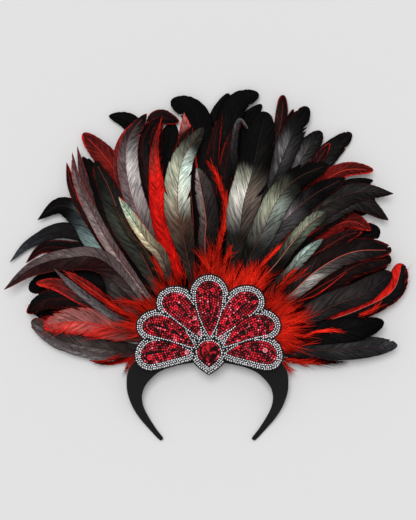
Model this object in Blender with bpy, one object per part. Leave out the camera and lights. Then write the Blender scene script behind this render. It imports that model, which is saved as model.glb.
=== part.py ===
"""Carnival feather headdress, lying on its back: felt band, beaded palmette, three rows of feathers, fluff.

+X is to the right in the picture, +Y is up in the picture and +Z is the front of the headdress.
Layout tables are in millimetres on a flat layout sheet, x to the right and y down from its top left corner.
"""

import math

import bmesh
import bpy
import numpy as np

MM = 0.001
SHEET_CENTRE = np.array([207.5, 266.0])
PART_NAME = "feather_headdress"

# The feathers' layers: everything is laid out by its distance from the foot of the palmette.
FOCUS = np.array([208.7, 345.0])
SEAT_RADII = np.array([50.0, 45.0])
ROOT_Z = 3.0
LEVEL_AT_ROOT = 0.8
LEVEL_GROWTH = 2.5
ROW_GAP = 1.2
RISE_FROM = 79.0
RISE_LENGTH = 75.0
DROP_FROM = 110.0
DROP_LENGTH = 80.0
DROP_TO_FLOOR = 3.0
DROOP_FROM = 150.0
DROOP_SHARE = 0.25

CURVE_POINTS = 24
QUILL_RIDGE = 1.0
FEATHER_STATIONS = 9
CROWDED_AT_TIP = 1.6
ROOT_WIDTH = 0.22
FULL_WIDTH_AT = 0.5
TIP_WIDTH = 0.8

STRIP_WIDTH = 8.0
STRIP_SECTIONS = 25
ROW_STRIPS = {"back": (2.3, 6.75), "middle": (7.05, 11.1), "front": (11.45, 15.0)}
ROW_SEATS = (-14.0, 194.0)
COLLAR_STRIP = (15.8, 19.2)
COLLAR_SEATS = (12.0, 168.0)
COLLAR_ROW = 3

# The plate: heights of its layers above the floor.
PLATE_Z = 20.0
FELT = 2.5
LAY_GAP = 0.3
FELT_MARGIN = 7.3
BORDER_MARGIN = 5.0
BORDER_HEIGHT = 2.8
SHARPEST_MITRE = 0.6
CUT_THROUGH = 1.0
FIELD_HEIGHT = 1.9
FIELD_BEVEL = 0.9
QUARTER_POINTS = 7
FLANK_BULGE = 0.9
STONE_QUARTER_POINTS = 4

# The stone's rings from its foot to its table: share of the full outline, and height above the foot.
STONE_LAYERS = ((0.78, 0.0), (1.0, 1.0), (1.0, 1.4), (0.78, 2.6), (0.5, 3.4))

BLACK_FELT = ((0.012, 0.011, 0.012), 0.95, 0.0)
BLACK_PLUME = ((0.02, 0.017, 0.02), 0.45, 0.0)
RED_FLUFF = ((0.55, 0.012, 0.008), 0.8, 0.0)
RED_SEQUIN = ((0.35, 0.006, 0.012), 0.25, 0.6)
SILVER_BEAD = ((0.62, 0.62, 0.64), 0.22, 0.9)
DARK_STONE = ((0.16, 0.002, 0.01), 0.06, 0.0)

# Half of the band from its middle to the left tip: outer edge, inner edge, underside height, thickness.
BAND_COLUMNS = ("outer_x", "outer_y", "inner_x", "inner_y", "under_z", "thickness")
BAND_SECTIONS = (
    (207.5, 342.0, 207.5, 362.5, 15.5, 4.2),
    (190.0, 342.4, 191.0, 363.2, 15.5, 4.2),
    (170.0, 345.5, 174.0, 366.4, 15.5, 4.2),
    (151.0, 351.0, 160.0, 371.6, 15.5, 4.2),
    (137.0, 359.0, 151.0, 378.8, 15.2, 4.2),
    (128.0, 371.0, 145.2, 386.0, 14.4, 4.2),
    (126.3, 385.0, 142.6, 392.5, 12.4, 4.2),
    (127.8, 396.0, 141.8, 399.5, 10.0, 4.2),
    (132.5, 408.5, 143.6, 408.5, 6.8, 4.1),
    (139.7, 420.0, 148.6, 418.8, 3.2, 4.0),
    (147.2, 429.0, 153.8, 427.3, 0.7, 3.8),
    (151.5, 433.8, 156.8, 431.8, 0.0, 3.7),
    (157.2, 439.9, 161.4, 437.6, 0.0, 3.6),
    (160.2, 442.4, 163.0, 440.2, 0.0, 3.2),
)
BAND_EDGE = 1.1
BAND_STEPS = 2

# The palmette's red fields: inner point, outer end, half width, how far the middle bows to the left of the
# way from the point to the end, and the share of that way at which the field is widest.
FIELD_COLUMNS = ("name", "point", "end", "half_width", "bow", "widest_at")
FIELDS = (
    ("petal_centre", (209.8, 336.0), (209.0, 281.0), 13.0, 0.0, 0.76),
    ("petal_upper_left", (200.5, 337.0), (166.2, 295.4), 12.0, -3.6, 0.76),
    ("petal_upper_right", (217.0, 337.0), (255.4, 294.9), 12.0, 3.6, 0.76),
    ("petal_middle_left", (194.5, 347.0), (143.6, 323.2), 10.7, -5.4, 0.76),
    ("petal_middle_right", (224.0, 346.0), (273.5, 322.4), 10.8, 5.4, 0.76),
    ("petal_lower_left", (191.5, 353.0), (141.3, 355.5), 11.0, -3.6, 0.76),
    ("petal_lower_right", (226.0, 353.0), (276.5, 355.5), 11.0, 3.6, 0.76),
    ("centre_shield", (209.0, 366.5), (209.0, 341.0), 11.6, 0.0, 0.55),
)
STONE = {"point": (209.0, 362.0), "end": (209.0, 343.5), "half_width": 7.4, "bow": 0.0, "widest_at": 0.6}

# Long feathers, from the back to the front. Each runs from its seat, an angle round the palmette in degrees,
# by three points on the layout sheet to its tip. left and right are its vane widths looking from seat to tip,
# taper is the share of its length that the tip narrows over, point is how sharp the tip is, and level is its
# height in the pile.
FEATHER_COLUMNS = ("seat", "first", "second", "third", "tip", "left", "right", "taper", "point", "level")
BACK_FEATHERS = (
    (164, (112, 292), (88, 281), (60, 277), (27, 290), 14, 14, 0.3, 0.45, 0.0),
    (140, (125, 250), (108, 215), (95, 185), (88, 165), 13, 13, 0.3, 0.5, 0.0),
    (125, (150, 225), (142, 180), (138, 150), (140, 125), 13, 13, 0.3, 0.5, 0.6),
    (108, (176, 220), (168, 180), (167, 150), (173, 122), 16, 14, 0.3, 0.45, 0.0),
    (90, (208, 210), (210, 170), (214, 140), (219, 112), 14, 14, 0.3, 0.5, 0.6),
    (80, (232, 210), (240, 170), (246, 140), (254, 112), 14, 14, 0.3, 0.5, 0.0),
    (68, (255, 215), (272, 175), (284, 148), (296, 120), 14, 14, 0.3, 0.5, 0.6),
    (55, (280, 225), (302, 192), (318, 168), (336, 146), 14, 14, 0.3, 0.5, 0.0),
    (42, (292, 245), (320, 220), (348, 206), (377, 200), 18, 16, 0.2, 0.4, 0.6),
    (30, (300, 264), (330, 246), (356, 237), (382, 230), 16, 16, 0.25, 0.45, 0.0),
    (16, (304, 296), (335, 283), (362, 272), (389, 260), 15, 15, 0.25, 0.45, 0.6),
    (5, (310, 322), (340, 314), (365, 305), (388, 294), 13, 13, 0.3, 0.5, 0.0),
    (-6, (302, 345), (330, 346), (355, 346), (380, 344), 12, 13, 0.3, 0.5, 0.6),
    (176, (118, 322), (90, 316), (60, 310), (28, 305), 16, 16, 0.25, 0.45, 0.0),
    (186, (116, 351), (88, 347), (58, 340), (30, 321), 10, 14, 0.3, 0.45, 1.2),
    (160, (100, 262), (70, 249), (42, 248), (24, 263), 9, 9, 0.4, 0.9, 1.0),
    (82, (232, 205), (239, 155), (247, 122), (262, 103), 11, 11, 0.3, 0.5, 1.5),
    (188, (112, 358), (79, 353), (49, 341), (29.5, 326.5), 4, 4, 0.3, 0.8, 3.0),
    (190, (121, 362), (110, 364), (100, 363), (88, 361), 2, 2, 0.3, 0.8, 2.0),
    (71, (262, 212), (282, 150), (288, 125), (294, 108), 6, 6, 0.25, 0.5, 2.4),
    (131, (138, 205), (136, 163), (130, 127), (108, 114.5), 8, 16, 0.25, 0.6, 2.0),
    (122, (157, 205), (151, 150), (157, 118), (179, 120.5), 11, 11, 0.25, 0.5, 2.6),
    (88, (214, 210), (215, 160), (218, 120), (229, 92), 12, 11, 0.3, 0.5, 2.0),
    (58, (280, 218), (308, 183), (328, 156), (352.5, 132), 13, 11, 0.25, 0.45, 2.0),
    (155, (105, 250), (65, 231), (30, 243), (8, 262.5), 8, 10, 0.45, 0.9, 2.2),
    (62, (270, 218), (291, 178), (305, 154), (322, 130.5), 14, 13, 0.25, 0.45, 3.0),
    (74, (258, 212), (275, 150), (282, 118), (283.5, 94), 7, 6, 0.12, 0.35, 3.2),
    (98, (204, 212), (202, 165), (195, 115), (171, 99), 16, 16, 0.26, 0.45, 3.0),
    (84, (222, 205), (226, 150), (236, 106), (259, 92.5), 15, 13, 0.28, 0.45, 3.3),
    (124, (152, 205), (143, 155), (146, 130), (160, 116), 8, 10, 0.3, 0.6, 3.4),
    (134, (138, 225), (125, 190), (106, 158), (82, 132.5), 13, 12, 0.27, 0.45, 3.0),
    (150, (102, 246), (84, 219), (60, 205), (36, 220), 15, 13, 0.38, 1.0, 3.4),
    (33, (300, 252), (328, 230), (352, 221), (372, 230), 12, 9, 0.3, 0.6, 3.0),
)
MIDDLE_FEATHERS = (
    (172, (112, 318), (80, 303), (50, 299), (26, 313), 12, 12, 0.4, 0.5, 4.0),
    (144, (122, 246), (104, 205), (92, 178), (82, 156), 8, 10, 0.25, 0.6, 4.0),
    (152, (110, 250), (87, 215), (72, 188), (66, 162), 6, 7, 0.3, 0.8, 4.6),
    (68, (258, 218), (277, 172), (291, 138), (308, 106), 13, 12, 0.22, 0.42, 4.1),
    (87, (215, 205), (213, 160), (216, 135), (222, 113), 7, 7, 0.3, 0.7, 4.6),
    (85, (222, 200), (227, 160), (232, 138), (241, 120), 7, 8, 0.3, 0.7, 5.2),
    (104, (192, 205), (186, 160), (185, 135), (184, 112), 8, 11, 0.2, 1.0, 4.0),
    (47, (292, 228), (322, 200), (350, 186), (374, 180), 8, 8, 0.2, 0.6, 4.0),
    (35, (298, 248), (318, 230), (334, 220), (350, 214), 7, 7, 0.3, 0.6, 4.4),
    (4, (318, 324), (361, 309), (393, 291), (403, 263.5), 11, 11, 0.15, 0.4, 4.0),
    (60, (275, 220), (300, 185), (315, 165), (330, 143), 8, 8, 0.3, 0.5, 4.8),
    (-8, (298, 352), (335, 350), (368, 348), (398, 345.5), 13, 11, 0.35, 0.55, 5.0),
    (170, (112, 312), (82, 297), (58, 285), (36, 283), 8, 8, 0.35, 0.5, 5.1),
    (146, (118, 248), (98, 210), (84, 180), (76.5, 145), 5, 6, 0.3, 1.0, 5.0),
    (142, (126, 252), (108, 215), (98, 185), (88, 158), 8, 8, 0.25, 0.6, 5.6),
    (130, (136, 215), (119, 170), (124, 138), (147, 113), 6, 9, 0.3, 0.7, 5.0),
    (108, (185, 222), (180, 175), (182, 148), (192, 126), 9, 8, 0.3, 0.5, 5.0),
    (83, (236, 200), (234, 150), (239, 120), (251, 133), 4, 4, 0.3, 0.9, 5.8),
    (50, (288, 225), (318, 187), (345, 170), (374, 170), 9, 8, 0.25, 0.45, 5.2),
    (18, (302, 298), (335, 278), (362, 263), (392, 259), 11, 12, 0.2, 0.42, 5.0),
    (38, (292, 245), (322, 216), (356, 201), (389, 220), 13, 12, 0.33, 0.75, 5.4),
    (-2, (302, 336), (332, 332), (360, 329), (384, 322), 13, 12, 0.3, 0.5, 6.2),
    (148, (115, 252), (92, 212), (77, 180), (72, 152), 7, 6, 0.35, 0.9, 6.4),
    (128, (139, 217), (127, 175), (128, 140), (146, 113.5), 9, 13, 0.3, 0.6, 6.2),
    (44, (292, 232), (325, 205), (358, 192), (394, 193.5), 12, 13, 0.32, 0.9, 6.4),
    (155, (125, 300), (115, 280), (108, 270), (98, 260), 12, 12, 0.4, 0.6, 6.6),
    (160, (108, 264), (68, 258), (32, 268), (3.5, 290), 14, 10, 0.5, 0.9, 7.0),
    (140, (142, 255), (124, 225), (110, 190), (95, 161), 13, 9, 0.3, 0.5, 7.2),
    (115, (165, 232), (157, 185), (155, 148), (163, 112), 12, 11, 0.7, 1.5, 7.0),
    (30, (300, 266), (325, 248), (345, 236), (362, 231), 8, 9, 0.3, 0.5, 7.0),
    (178, (130, 334), (97, 324), (68, 321.5), (44, 327), 14, 15, 0.4, 0.5, 7.2),
    (10, (305, 319), (335, 305), (366, 293), (392, 273), 15, 9, 0.25, 0.45, 7.2),
    (166, (122, 312), (103, 298), (83, 283), (63, 270), 4, 5, 0.3, 0.8, 7.6),
)
FRONT_FEATHERS = (
    (134, (150, 258), (135, 238), (124, 222), (113, 204), 5, 5, 0.3, 0.7, 8.0),
    (92, (205, 242), (206, 222), (203, 200), (197, 168), 7, 14, 0.3, 0.6, 8.0),
    (168, (116, 318), (97, 305), (76, 288), (54, 268), 4, 4, 0.3, 1.0, 8.4),
    (58, (285, 243), (298, 230), (310, 217), (322, 204), 5, 5, 0.5, 0.6, 8.4),
    (45, (286, 275), (300, 258), (311, 247), (322, 239), 5, 7, 0.3, 0.6, 8.8),
    (62, (268, 240), (290, 215), (315, 194), (345, 178), 12, 13, 0.4, 0.55, 9.0),
    (22, (288, 297), (318, 269), (352, 252), (391, 250), 13, 11, 0.25, 0.45, 9.0),
    (132, (163, 260), (147, 240), (132, 218), (119, 197), 6, 7, 0.35, 0.8, 9.0),
    (104, (184, 240), (178, 205), (182, 163), (203, 128), 14, 13, 0.4, 0.6, 10.0),
    (78, (238, 240), (243, 205), (253, 168), (265, 112), 16, 17, 0.2, 0.45, 10.0),
    (68, (262, 232), (277, 200), (298, 178), (328, 165), 13, 14, 0.35, 0.5, 10.6),
    (55, (274, 266), (290, 245), (306, 226), (325, 212), 7, 8, 0.12, 0.5, 11.0),
)

# Locks of the fluff collar: seat, tip, half width and level.
LOCK_COLUMNS = ("seat", "tip", "half_width", "level")
COLLAR_LOCKS = (
    (12, (300, 356), 7, 12.4),
    (12, (320, 341), 8, 13.0),
    (14, (314, 322), 9, 13.6),
    (22, (315, 303), 8, 13.0),
    (32, (290, 295), 6, 13.6),
    (42, (274, 280), 6, 13.0),
    (52, (270, 261), 6, 13.6),
    (62, (262, 257), 6, 13.0),
    (72, (246, 258), 6, 13.6),
    (82, (232, 250), 6, 13.0),
    (92, (216, 238), 8, 13.6),
    (103, (197, 268), 6, 13.0),
    (115, (180, 272), 6, 13.6),
    (127, (163, 276), 6, 13.0),
    (140, (149, 288), 6, 13.6),
    (152, (136, 302), 6, 13.0),
    (165, (124, 318), 6, 13.6),
)
LOCK_RIDGE = 2.2
LOCK_STATIONS = 8
LOCK_ROOT_WIDTH = 0.45


def clear_scene():
    for obj in list(bpy.data.objects):
        bpy.data.objects.remove(obj, do_unlink=True)


def new_collection(name):
    made = bpy.data.collections.new(name)
    bpy.context.scene.collection.children.link(made)
    return made


def new_material(name, finish):
    colour, roughness, metallic = finish
    made = bpy.data.materials.new(name)
    made.use_nodes = True
    shader = made.node_tree.nodes["Principled BSDF"]
    shader.inputs["Base Color"].default_value = (*colour, 1.0)
    shader.inputs["Roughness"].default_value = roughness
    shader.inputs["Metallic"].default_value = metallic
    return made


def named_rows(columns, rows):
    return [dict(zip(columns, row)) for row in rows]


def smooth_step(value):
    value = np.clip(value, 0.0, 1.0)
    return value * value * (3.0 - 2.0 * value)


def world_points(points):
    """Layout sheet points in millimetres, height last, as world points in metres."""
    world = np.array(points, float)
    world[..., 0] -= SHEET_CENTRE[0]
    world[..., 1] = SHEET_CENTRE[1] - world[..., 1]
    return world * MM


def with_height(flat, height):
    return np.concatenate([flat, np.broadcast_to(height, flat.shape[:-1])[..., None]], axis=-1)


def mesh_object(name, rings, finish, target):
    """A closed solid lofted through rings of equal point counts, given on the layout sheet."""
    count, around = rings.shape[:2]
    shape = bmesh.new()
    verts = [[shape.verts.new(point) for point in ring] for ring in world_points(rings)]
    for low, high in zip(verts, verts[1:]):
        for i in range(around):
            j = (i + 1) % around
            shape.faces.new((low[i], low[j], high[j], high[i]))
    shape.faces.new(verts[0][::-1])
    shape.faces.new(verts[count - 1])
    bmesh.ops.recalc_face_normals(shape, faces=shape.faces)
    mesh = bpy.data.meshes.new(name)
    shape.to_mesh(mesh)
    shape.free()
    mesh.materials.append(finish)
    made = bpy.data.objects.new(name, mesh)
    target.objects.link(made)
    return made


def hide_helper(obj):
    obj.hide_render = True
    obj.display_type = "WIRE"


def add_boolean(obj, name, operation, helpers):
    for helper in helpers.objects:
        hide_helper(helper)
    modifier = obj.modifiers.new(name, "BOOLEAN")
    modifier.operation = operation
    modifier.solver = "EXACT"
    modifier.operand_type = "COLLECTION"
    modifier.collection = helpers


def smooth_path(points, shares):
    """Points at these shares of the length of a smooth curve through the given points."""
    points = np.asarray(points, float)
    ends = (2 * points[0] - points[1], 2 * points[-1] - points[-2])
    ring = np.vstack([ends[0], points, ends[1]])
    fine = np.linspace(0.0, 1.0, CURVE_POINTS, endpoint=False)[:, None]
    spans = []
    for before, start, stop, after in zip(ring, ring[1:], ring[2:], ring[3:]):
        pull_in = (stop - before) / 2
        pull_out = (after - start) / 2
        spans.append(
            (2 * fine**3 - 3 * fine**2 + 1) * start
            + (fine**3 - 2 * fine**2 + fine) * pull_in
            + (3 * fine**2 - 2 * fine**3) * stop
            + (fine**3 - fine**2) * pull_out
        )
    line = np.vstack(spans + [points[-1:]])
    run = np.concatenate([[0.0], np.cumsum(np.linalg.norm(np.diff(line, axis=0), axis=1))])
    wanted = np.asarray(shares) * run[-1]
    return np.stack([np.interp(wanted, run, line[:, axis]) for axis in range(line.shape[1])], axis=1)


def left_of(path):
    """Unit vectors to the left of a path on the sheet, whose y axis runs down."""
    along = np.gradient(path, axis=0)
    along /= np.linalg.norm(along, axis=1)[:, None]
    return np.stack([along[:, 1], -along[:, 0]], axis=1)


def seat_point(degrees):
    angle = math.radians(degrees)
    return FOCUS + SEAT_RADII * np.array([math.cos(angle), -math.sin(angle)])


def layer_height(flat, level, row):
    """Height of a layer of the pile: close together at the palmette, spread outwards, and low at the rim."""
    away = np.linalg.norm(flat - FOCUS, axis=-1)
    growth = LEVEL_AT_ROOT + LEVEL_GROWTH * smooth_step((away - RISE_FROM) / RISE_LENGTH)
    droop = 1.0 - DROOP_SHARE * smooth_step((away - DROOP_FROM) / DROP_LENGTH)
    drop = DROP_TO_FLOOR * smooth_step((away - DROP_FROM) / DROP_LENGTH)
    return ROOT_Z + ROW_GAP * row + level * growth * droop - drop


def strip_rings(path, left, right, ridge, level, row):
    """Rings of a strip with a flat underside and a ridge along its middle, lying in its layer."""
    side = left_of(path)
    corners = (path + side * left[:, None], path, path - side * right[:, None])
    rings = [
        with_height(corner, layer_height(corner, level, row) + lift * ridge)
        for corner, lift in zip(corners, (0.0, 1.0, 0.0))
    ]
    return np.stack(rings, axis=1)


def spread_share(shares, at_root):
    """Width along the length: narrow at the root and full from the middle on."""
    return at_root + (1.0 - at_root) * smooth_step(shares / FULL_WIDTH_AT)


def vane_share(shares, taper, point):
    """A feather's width along its length: narrow at the quill, full past the middle, narrowed to the tip."""
    past = np.clip((shares - (1.0 - taper)) / taper, 0.0, 1.0)
    return spread_share(shares, ROOT_WIDTH) * np.maximum(1.0 - past**2, 0.0) ** point


def add_feather(name, feather, row, finish, target):
    shares = 1.0 - (1.0 - np.linspace(0.0, 1.0, FEATHER_STATIONS)) ** CROWDED_AT_TIP
    line = [seat_point(feather["seat"])] + [feather[column] for column in ("first", "second", "third", "tip")]
    path = smooth_path(line, shares)
    vane = vane_share(shares, feather["taper"], feather["point"])
    left = np.maximum(feather["left"] * vane, TIP_WIDTH / 2)
    right = np.maximum(feather["right"] * vane, TIP_WIDTH / 2)
    mesh_object(name, strip_rings(path, left, right, QUILL_RIDGE, feather["level"], row), finish, target)


def add_lock(name, lock, finish, target):
    shares = np.linspace(0.0, 1.0, LOCK_STATIONS)
    path = smooth_path((seat_point(lock["seat"]), lock["tip"]), shares)
    rounded = np.sqrt(np.maximum(1.0 - shares**3, 0.0))
    half_width = np.maximum(lock["half_width"] * rounded * spread_share(shares, LOCK_ROOT_WIDTH), TIP_WIDTH)
    rings = strip_rings(path, half_width, half_width, LOCK_RIDGE, lock["level"], COLLAR_ROW)
    mesh_object(name, rings, finish, target)


def add_arc_strip(name, seats, heights, finish, target):
    """The curved strip that the quills are sewn to, along the seats' arc."""
    path = np.array([seat_point(angle) for angle in np.linspace(*seats, STRIP_SECTIONS)])
    side = left_of(path) * STRIP_WIDTH / 2
    low, high = heights
    corners = ((path + side, low), (path + side, high), (path - side, high), (path - side, low))
    rings = np.stack([with_height(flat, height) for flat, height in corners], axis=1)
    return mesh_object(name, rings, finish, target)


def add_feather_row(row, name, feathers, finish, parts):
    strip = add_arc_strip(f"feather_row_{name}", ROW_SEATS, ROW_STRIPS[name], finish, parts)
    helpers = new_collection(f"feathers_{name}")
    for number, feather in enumerate(named_rows(FEATHER_COLUMNS, feathers)):
        add_feather(f"feather_{name}_{number:02d}", feather, row, finish, helpers)
    add_boolean(strip, "sewn feathers", "UNION", helpers)


def add_fluff_collar(finish, parts):
    collar = add_arc_strip("fluff_collar", COLLAR_SEATS, COLLAR_STRIP, finish, parts)
    helpers = new_collection("collar_locks")
    for number, lock in enumerate(named_rows(LOCK_COLUMNS, COLLAR_LOCKS)):
        add_lock(f"lock_{number:02d}", lock, finish, helpers)
    add_boolean(collar, "sewn locks", "UNION", helpers)


def band_sections():
    """The band's table rows from the right tip over the middle to the left tip, with rows between them."""
    half = np.array(BAND_SECTIONS)
    other = half[:0:-1].copy()
    across = [BAND_COLUMNS.index("outer_x"), BAND_COLUMNS.index("inner_x")]
    other[:, across] = 2 * SHEET_CENTRE[0] - other[:, across]
    rows = np.vstack([other, half])
    steps = BAND_STEPS * (len(rows) - 1) + 1
    run = np.concatenate([[0.0], np.cumsum(np.linalg.norm(np.diff(rows, axis=0), axis=1))])
    wanted = np.interp(np.linspace(0, len(rows) - 1, steps), np.arange(len(rows)), run / run[-1])
    smooth = smooth_path(rows, wanted)
    under = BAND_COLUMNS.index("under_z")
    smooth[:, under] = np.maximum(smooth[:, under], 0.0)
    return dict(zip(BAND_COLUMNS, smooth.T))


def add_headband(finish, parts):
    band = band_sections()
    outer = np.stack([band["outer_x"], band["outer_y"]], axis=1)
    inner = np.stack([band["inner_x"], band["inner_y"]], axis=1)
    across = inner - outer
    across /= np.linalg.norm(across, axis=1)[:, None]
    bevel = across * BAND_EDGE
    low = band["under_z"]
    high = low + band["thickness"]
    corners = (
        (outer, low + BAND_EDGE),
        (outer, high - BAND_EDGE),
        (outer + bevel, high),
        (inner - bevel, high),
        (inner, high - BAND_EDGE),
        (inner, low + BAND_EDGE),
        (inner - bevel, low),
        (outer + bevel, low),
    )
    rings = np.stack([with_height(flat, height) for flat, height in corners], axis=1)
    mesh_object("headband", rings, finish, parts)


def petal_outline(petal, quarter=QUARTER_POINTS):
    """A petal's closed outline: out along its left side from the point, round the end, and back."""
    point = np.array(petal["point"])
    along = np.array(petal["end"]) - point
    length = np.linalg.norm(along)
    along /= length
    left = np.array([along[1], -along[0]])
    run = np.linspace(0.0, 1.0, quarter, endpoint=False)
    turn = np.linspace(0.0, math.pi / 2, quarter + 1)
    widest = petal["widest_at"]
    u = np.concatenate([widest * run, widest + (1.0 - widest) * np.sin(turn)])
    w = np.concatenate([np.sin(math.pi / 2 * run**FLANK_BULGE), np.cos(turn)]) * petal["half_width"]
    middle = point + np.outer(u * length, along) + np.outer(petal["bow"] * np.sin(math.pi * u), left)
    return np.vstack([middle + np.outer(w, left), (middle - np.outer(w, left))[-2:0:-1]])


def grown(outline, margin):
    """The outline moved outwards by a margin, mitred at its corners."""
    before = outline - np.roll(outline, 1, axis=0)
    after = np.roll(outline, -1, axis=0) - outline
    before /= np.linalg.norm(before, axis=1)[:, None]
    after /= np.linalg.norm(after, axis=1)[:, None]
    outward = np.stack([before[:, 1] + after[:, 1], -(before[:, 0] + after[:, 0])], axis=1)
    outward /= np.linalg.norm(outward, axis=1)[:, None]
    straight = np.stack([after[:, 1], -after[:, 0]], axis=1)
    mitre = 1.0 / np.maximum((outward * straight).sum(axis=1), SHARPEST_MITRE)
    return outline + outward * (margin * mitre)[:, None]


def add_plate(name, outline, heights, finish, target):
    rings = np.stack([with_height(outline, height) for height in heights])
    return mesh_object(name, rings, finish, target)


def add_union_of_fields(name, margin, heights, finish, parts):
    """One plate with the outline of all the fields together, each grown by the margin."""
    fields = named_rows(FIELD_COLUMNS, FIELDS)
    outlines = [grown(petal_outline(field), margin) for field in fields]
    plate = add_plate(name, outlines[-1], heights, finish, parts)
    helpers = new_collection(f"{name}_petals")
    for field, outline in zip(fields[:-1], outlines):
        add_plate(f"{name}_{field['name']}", outline, heights, finish, helpers)
    add_boolean(plate, "petals", "UNION", helpers)
    return plate


def add_palmette(felt, silver, red, stone, parts):
    add_union_of_fields("applique_backing", FELT_MARGIN, (PLATE_Z, PLATE_Z + FELT), felt, parts)
    foot = PLATE_Z + FELT + LAY_GAP
    border = add_union_of_fields("silver_border", BORDER_MARGIN, (foot, foot + BORDER_HEIGHT), silver, parts)
    openings = new_collection("silver_border_openings")
    through = (foot - CUT_THROUGH, foot + BORDER_HEIGHT + CUT_THROUGH)
    for field in named_rows(FIELD_COLUMNS, FIELDS):
        outline = petal_outline(field)
        add_plate(f"opening_{field['name']}", grown(outline, LAY_GAP), through, silver, openings)
        edge = foot + FIELD_HEIGHT - FIELD_BEVEL
        rings = [with_height(outline, foot), with_height(outline, edge)]
        rings.append(with_height(grown(outline, -FIELD_BEVEL), foot + FIELD_HEIGHT))
        mesh_object(field["name"], np.stack(rings), red, parts)
    add_boolean(border, "fields cut through", "DIFFERENCE", openings)
    add_stone(foot + FIELD_HEIGHT + LAY_GAP, stone, parts)


def add_stone(foot, finish, parts):
    """A drop-shaped stone with a flat foot, a thin girdle, a ring of crown facets and a table."""
    outline = petal_outline(STONE, STONE_QUARTER_POINTS)
    centre = outline.mean(axis=0)
    from_centre = outline - centre
    rings = [with_height(centre + from_centre * scale, foot + height) for scale, height in STONE_LAYERS]
    mesh_object("centre_stone", np.stack(rings), finish, parts)


def main():
    clear_scene()
    parts = new_collection(PART_NAME)
    felt = new_material("black_felt", BLACK_FELT)
    plume = new_material("black_plume", BLACK_PLUME)
    fluff = new_material("red_fluff", RED_FLUFF)
    add_headband(felt, parts)
    rows = (("back", BACK_FEATHERS), ("middle", MIDDLE_FEATHERS), ("front", FRONT_FEATHERS))
    for row, (name, feathers) in enumerate(rows):
        add_feather_row(row, name, feathers, plume, parts)
    add_fluff_collar(fluff, parts)
    red = new_material("red_sequin", RED_SEQUIN)
    silver = new_material("silver_bead", SILVER_BEAD)
    stone = new_material("dark_stone", DARK_STONE)
    add_palmette(felt, silver, red, stone, parts)


main()
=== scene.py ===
"""The carnival feather headdress, dressed: felt band, beaded palmette, cock feathers and red fluff.

The layout sheet used below is in millimetres, x to the right and y down from its top left corner, with the
headdress lying on its back under a camera that looks straight down. Every new piece is a surface worked out
with numpy on a grid of two parameters, or a small shape repeated at points worked out the same way.
"""

from __future__ import annotations

import logging
import math
from dataclasses import dataclass, field
from enum import Enum

import bpy
import numpy as np
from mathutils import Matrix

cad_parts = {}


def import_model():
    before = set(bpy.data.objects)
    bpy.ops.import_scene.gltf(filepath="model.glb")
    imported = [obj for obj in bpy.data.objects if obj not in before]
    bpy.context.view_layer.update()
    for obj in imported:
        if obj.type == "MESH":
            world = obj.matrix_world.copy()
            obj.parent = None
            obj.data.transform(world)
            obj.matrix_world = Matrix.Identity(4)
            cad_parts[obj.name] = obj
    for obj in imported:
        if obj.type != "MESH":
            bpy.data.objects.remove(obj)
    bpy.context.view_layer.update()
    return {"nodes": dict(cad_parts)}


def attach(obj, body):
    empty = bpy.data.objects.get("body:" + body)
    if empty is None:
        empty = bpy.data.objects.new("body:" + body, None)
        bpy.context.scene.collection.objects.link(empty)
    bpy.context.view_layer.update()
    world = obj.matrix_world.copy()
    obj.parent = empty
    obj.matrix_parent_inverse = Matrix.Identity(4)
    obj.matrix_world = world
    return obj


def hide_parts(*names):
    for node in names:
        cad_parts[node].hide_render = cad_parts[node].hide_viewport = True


LOG = logging.getLogger("headdress")
MM = 0.001
Array = np.ndarray
Colour = tuple[float, float, float]
Stops = tuple[Colour, Colour, Colour, Colour, Colour]
Point = tuple[float, float]
Range = tuple[float, float]
Pairs = tuple[tuple[float, float], ...]
Random = np.random.Generator
Material = bpy.types.Material
Node = bpy.types.Node
Socket = bpy.types.NodeSocket
BODY = "root"

# The sheet point over the frame's origin, the foot of the palmette, and the oval that the quills are sewn on.
SHEET_CENTRE = np.array([207.5, 266.0])
FOCUS = np.array([208.7, 345.0])
SEAT_RADII = np.array([50.0, 45.0])


def linear(colour: Colour) -> Array:
    """Turn a colour read as 0 to 255 screen values into scene light values."""
    value = np.asarray(colour, float) / 255.0
    return np.where(value <= 0.04045, value / 12.92, ((value + 0.055) / 1.055) ** 2.4)


def opaque(colour: Colour) -> tuple[float, ...]:
    """A screen colour as a solid colour for a shader's socket."""
    return (*linear(colour), 1.0)


def smooth_step(value: Array | float) -> Array:
    """Rise smoothly from 0 to 1 as the value goes from 0 to 1."""
    value = np.clip(value, 0.0, 1.0)
    return value * value * (3.0 - 2.0 * value)


def world_points(points: Array) -> Array:
    """Move layout sheet points, height last, to the frame's metres.

    Args:
        points: Sheet x, sheet y and height in millimetres along the last axis.

    Returns:
        The same points in metres, with y turned to run up.
    """
    world = np.array(points, float)
    world[..., 0] -= SHEET_CENTRE[0]
    world[..., 1] = SHEET_CENTRE[1] - world[..., 1]
    return world * MM


def with_height(flat: Array, height: Array | float) -> Array:
    """Add a height to sheet points."""
    return np.concatenate([flat, np.broadcast_to(height, flat.shape[:-1])[..., None]], axis=-1)


def seat_point(degrees: float) -> Array:
    """The sheet point on the sewing line at an angle round the foot of the palmette."""
    angle = math.radians(degrees)
    return FOCUS + SEAT_RADII * np.array([math.cos(angle), -math.sin(angle)])


def wander(rng: Random, count: int, knots: int) -> Array:
    """Smooth random values between -1 and 1: random knots joined by smooth steps.

    Args:
        rng: The random draws.
        count: How many values.
        knots: How many spans from knot to knot they run over.

    Returns:
        The values in order.
    """
    heights = rng.uniform(-1.0, 1.0, knots + 1)
    # The last value falls just short of the last knot, so that every value has a knot after it.
    place = np.linspace(0.0, knots, count) * 0.9999
    low = place.astype(int)
    share = smooth_step(place - low)
    return heights[low] * (1.0 - share) + heights[low + 1] * share


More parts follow.
